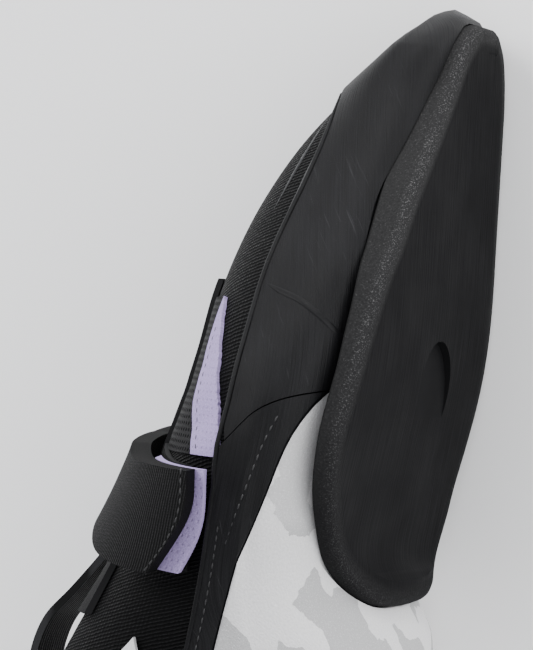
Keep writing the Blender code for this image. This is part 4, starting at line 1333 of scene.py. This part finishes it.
def sheet(name, t, left, right, low, high, made):
    """Thin closed sheet between two angles round the form."""
    shares = np.linspace(0, 1, SHEET_POINTS)
    angle = left[:, None] + (right - left)[:, None] * shares[None, :]
    lower, upper = (form_point(t[:, None], angle, proud).reshape(-1, 3) for proud in (low, high))
    rows = len(t)
    total = rows * SHEET_POINTS
    faces = []
    for row in range(rows - 1):
        for k in range(SHEET_POINTS - 1):
            a = row * SHEET_POINTS + k
            quad = (a, a + 1, a + SHEET_POINTS + 1, a + SHEET_POINTS)
            faces.append(quad)
            faces.append(tuple(v + total for v in quad))
    index = np.arange(total).reshape(rows, SHEET_POINTS)
    rim = np.concatenate([index[0], index[1:, -1], index[-1, :-1][::-1], index[1:-1, 0][::-1]])
    for a, b in zip(rim, np.roll(rim, -1)):
        faces.append((a, b, b + total, a + total))
    obj = new_object(name, np.vstack([lower, upper]), faces)
    corner = np.empty(len(obj.data.loops), int)
    obj.data.loops.foreach_get("vertex_index", corner)
    places = np.column_stack([-lower[:, 1], ((angle - math.pi) * RADIUS).ravel()])
    add_map(obj.data, "over", places[corner % total])
    dress(obj, made)
    return finish_piece(obj, name)


FACING_START = 0.262
FACING_END = 0.396
FACING_TIP_TURN = 0.358
FACING_THROAT_TURN = 0.322
FACING_OUTER_TURN = 0.282
FACING_BULGE = 0.018
FACING_TIP_WIDTH = 0.003
FACING_ROWS = 57
FACING_THICK = 0.0008
GUSSET_THICK = 0.0005
GUSSET_OVERLAP = 0.0004
FACING_GAP_ANGLE = 0.01
RAGGED = 0.0011
share = np.linspace(0, 1, FACING_ROWS)
facing_along = FACING_START + (FACING_END - FACING_START) * share
t = row_at(-facing_along * SHOE_LENGTH)
bulge = FACING_BULGE * 4 * share * (1 - share)
throat_side = (FACING_TIP_TURN * (1 - share) + FACING_THROAT_TURN * share + bulge) * 2 * math.pi
chance = np.random.default_rng(7)
straight = FACING_TIP_TURN * (1 - share) + FACING_OUTER_TURN * share - FACING_TIP_WIDTH
outer_side = (straight + chance.uniform(-RAGGED, RAGGED, FACING_ROWS)) * 2 * math.pi
sheet("lilac_throat_facing", t, throat_side, outer_side, SUNK, FACING_THICK, lilac)

rows = smooth_rows(THROAT)
edge = np.interp(facing_along, rows[:, 0], rows[:, 2]) * BALL_WIDTH + BINDING_WIDTH - GUSSET_OVERLAP
gusset_end = throat_side - FACING_GAP_ANGLE
sheet("mesh_gusset", t, angle_at_across(t, edge), gusset_end, SUNK, GUSSET_THICK, mesh_cloth)

# %% [markdown]
# ## Stitches
# Rows of thread hold the band, the strap and the facing. A short Geometry Nodes tree sets one
# small capsule at each step along a drawn line and turns it along the line, so the spacing stays even
# round bends. The result is realized into a plain mesh.

# %% Stitch tree and seams
STITCH = {"Step": 0.0020, "Length": 0.0014, "Thickness": 0.0004}


def make_stitch_tree(thread):
    tree = bpy.data.node_groups.new("stitches", "GeometryNodeTree")
    tree.interface.new_socket("Geometry", in_out="INPUT", socket_type="NodeSocketGeometry")
    for label, value in STITCH.items():
        socket = tree.interface.new_socket(label, in_out="INPUT", socket_type="NodeSocketFloat")
        socket.default_value = value
    tree.interface.new_socket("Geometry", in_out="OUTPUT", socket_type="NodeSocketGeometry")
    given = tree.nodes.new("NodeGroupInput").outputs
    result = tree.nodes.new("NodeGroupOutput").inputs
    line = add_node(tree, "GeometryNodeMeshToCurve", {"Mesh": given["Geometry"]}).outputs["Curve"]
    steps = {"Curve": line, "Length": given["Step"]}
    spaced = add_node(tree, "GeometryNodeResampleCurve", steps, mode="LENGTH").outputs["Curve"]
    coarse = {"Segments": 8, "Rings": 6, "Radius": 0.5}
    ball = add_node(tree, "GeometryNodeMeshUVSphere", coarse).outputs["Mesh"]
    size = {"X": given["Length"], "Y": given["Thickness"], "Z": given["Thickness"]}
    shape = add_node(tree, "ShaderNodeCombineXYZ", size).outputs[0]
    drawn = {"Geometry": ball, "Scale": shape}
    capsule = add_node(tree, "GeometryNodeTransform", drawn).outputs["Geometry"]
    tangent = add_node(tree, "GeometryNodeInputTangent").outputs["Tangent"]
    facing = add_node(tree, "FunctionNodeAlignRotationToVector", {"Vector": tangent}, axis="X")
    places = {"Points": spaced, "Instance": capsule, "Rotation": facing.outputs["Rotation"]}
    placed = add_node(tree, "GeometryNodeInstanceOnPoints", places).outputs["Instances"]
    real = add_node(tree, "GeometryNodeRealizeInstances", {"Geometry": placed}).outputs["Geometry"]
    dyed = {"Geometry": real, "Material": thread}
    done = add_node(tree, "GeometryNodeSetMaterial", dyed).outputs["Geometry"]
    tree.links.new(done, result["Geometry"])
    return tree


def stitch(name, t, angle, proud, tree):
    """Row of stitches along places on the form."""
    run = form_point(t, angle, proud)
    mesh = bpy.data.meshes.new(name)
    mesh.from_pydata([tuple(p) for p in run], [(k, k + 1) for k in range(len(run) - 1)], [])
    obj = bpy.data.objects.new(name, mesh)
    bpy.context.scene.collection.objects.link(obj)
    modifier = obj.modifiers.new("stitches", "NODES")
    modifier.node_group = tree
    sockets = {item.name: item.identifier for item in tree.interface.items_tree if item.in_out == "INPUT"}
    for label, value in STITCH.items():
        modifier[sockets[label]] = value
    sewn = bpy.data.meshes.new_from_object(obj.evaluated_get(bpy.context.evaluated_depsgraph_get()))
    obj.modifiers.remove(modifier)
    obj.data = sewn
    return finish_piece(obj, name)


black_thread, tree, shader, _ = new_material("black thread", "over", {"Specular IOR Level": 0.5})
spot = add_node(tree, "ShaderNodeTexCoord").outputs["Object"]
twist = effect(tree, GRAIN, spot, Size=0.00025, Sparse=0.6)
colour = mix(tree, twist["Height"], (0.002, 0.002, 0.0023, 1), (0.013, 0.013, 0.0145, 1))
rough = remap(tree, twist["Height"], 0.3, 0.7, 0.35, 0.6)
finish_material(tree, shader, colour, rough, ((twist["Height"], 0.0001),))
thread_tree = make_stitch_tree(black_thread)

BAND_SEAM_RISE = 0.0040
BAND_EDGE_SEAM_RISE = -0.0020
STRAP_SEAM_RISE = 0.0014
FACING_SEAM_INSET = 0.010
FACING_SEAM_ROWS = slice(12, 54)
strap_top = STRAP_PROUD + STRAP
seams = {
    "band_seam": (part_of(panel_top, 0.360, 0.470, BAND_SEAM_RISE), GAP + RAND),
    "band_edge_seam": (part_of(rand_top, 0.440, 0.600, BAND_EDGE_SEAM_RISE), GAP + RAND),
    "strap_seam": (part_of(raised(STRAP_END, STRAP_END_UP), 0.404, 0.497, STRAP_SEAM_RISE), strap_top),
}
for label, (line, proud) in seams.items():
    t, angle = line_places(line, 1, proud)
    stitch(label, t, angle, proud, thread_tree)
t = row_at(-facing_along[FACING_SEAM_ROWS] * SHOE_LENGTH)
seam_angle = throat_side[FACING_SEAM_ROWS] - FACING_SEAM_INSET * 2 * math.pi
stitch("facing_seam", t, seam_angle, FACING_THICK - SUNK, thread_tree)

# %% [markdown]
# ## Floor, light and camera
# A pale floor and large soft lights show black rubber best: the wide reflections draw its form. The
# camera is described in the shoe's own axes, because the photograph looks at the sole from a little
# below it, and is then turned with the shoe.

# %% Stage and camera
CAMERA_BELOW_SOLE = math.radians(22.0)
CAMERA_ROLL = math.radians(3.5)
CAMERA_DISTANCE = 0.75
CAMERA_TARGET = Vector((0.0, -0.068, 0.0377))
FOCAL_PIXELS = 3525.0
IMAGE_HEIGHT = 650
SENSOR = 36.0

floor_size = 6.0
floor_corners = [(x * floor_size, y * floor_size, 0) for x, y in ((-1, -1), (1, -1), (1, 1), (-1, 1))]
floor = new_object("floor", floor_corners, [(0, 1, 2, 3)])
paper = bpy.data.materials.new("white paper")
paper.use_nodes = True
paper.node_tree.nodes["Principled BSDF"].inputs["Base Color"].default_value = (0.93, 0.93, 0.93, 1)
paper.node_tree.nodes["Principled BSDF"].inputs["Roughness"].default_value = 0.9
dress(floor, paper)
floor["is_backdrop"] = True

back = Vector((math.cos(CAMERA_BELOW_SOLE), 0.0, -math.sin(CAMERA_BELOW_SOLE)))
ahead_way = Vector((0.0, 1.0, 0.0))
sideways = ahead_way.cross(back)
camera_right = sideways * math.cos(CAMERA_ROLL) + ahead_way * math.sin(CAMERA_ROLL)
camera_up = ahead_way * math.cos(CAMERA_ROLL) - sideways * math.sin(CAMERA_ROLL)
turned = [TURN @ v for v in (camera_right, camera_up, back)]
camera_data = bpy.data.cameras.new("camera")
camera_data.lens = FOCAL_PIXELS / IMAGE_HEIGHT * SENSOR
camera_data.sensor_width = SENSOR
camera = bpy.data.objects.new("camera", camera_data)
bpy.context.scene.collection.objects.link(camera)
camera_place = LYING @ CAMERA_TARGET + turned[2] * CAMERA_DISTANCE
camera.matrix_world = Matrix.Translation(camera_place) @ Matrix(turned).transposed().to_4x4()
bpy.context.scene.camera = camera
print("camera at", [round(v, 3) for v in camera_place])

LIGHT_COLUMNS = ("name", "place", "size", "power")
LIGHTS = (
    ("key", (-0.9, 0.9, 1.3), 1.0, 26.0),
    ("fill", (1.1, -0.3, 1.0), 1.4, 12.0),
    ("rim", (0.2, 1.4, 0.5), 0.8, 12.0),
    ("sole_wash", (1.2, 0.5, 0.35), 0.8, 10.0),
)
for row in LIGHTS:
    light = dict(zip(LIGHT_COLUMNS, row))
    data = bpy.data.lights.new(light["name"], "AREA")
    data.shape = "SQUARE"
    data.size = light["size"]
    data.energy = light["power"]
    lamp = bpy.data.objects.new(light["name"], data)
    bpy.context.scene.collection.objects.link(lamp)
    lamp.location = light["place"]
    lamp.rotation_euler = (Vector((0, 0, 0.04)) - lamp.location).to_track_quat("-Z", "Y").to_euler()

world = bpy.data.worlds.new("studio")
world.use_nodes = True
world.node_tree.nodes["Background"].inputs["Color"].default_value = (0.95, 0.96, 1.0, 1.0)
world.node_tree.nodes["Background"].inputs["Strength"].default_value = 0.9
bpy.context.scene.world = world

# %% [markdown]
# ## Size of the dressed shoe
# The last cell prints the box round every rendered piece, leaving out the floor.

# %% Box of the dressed shoe
low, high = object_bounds()
print("visual box", [round(v, 4) for v in (*low, *high)])
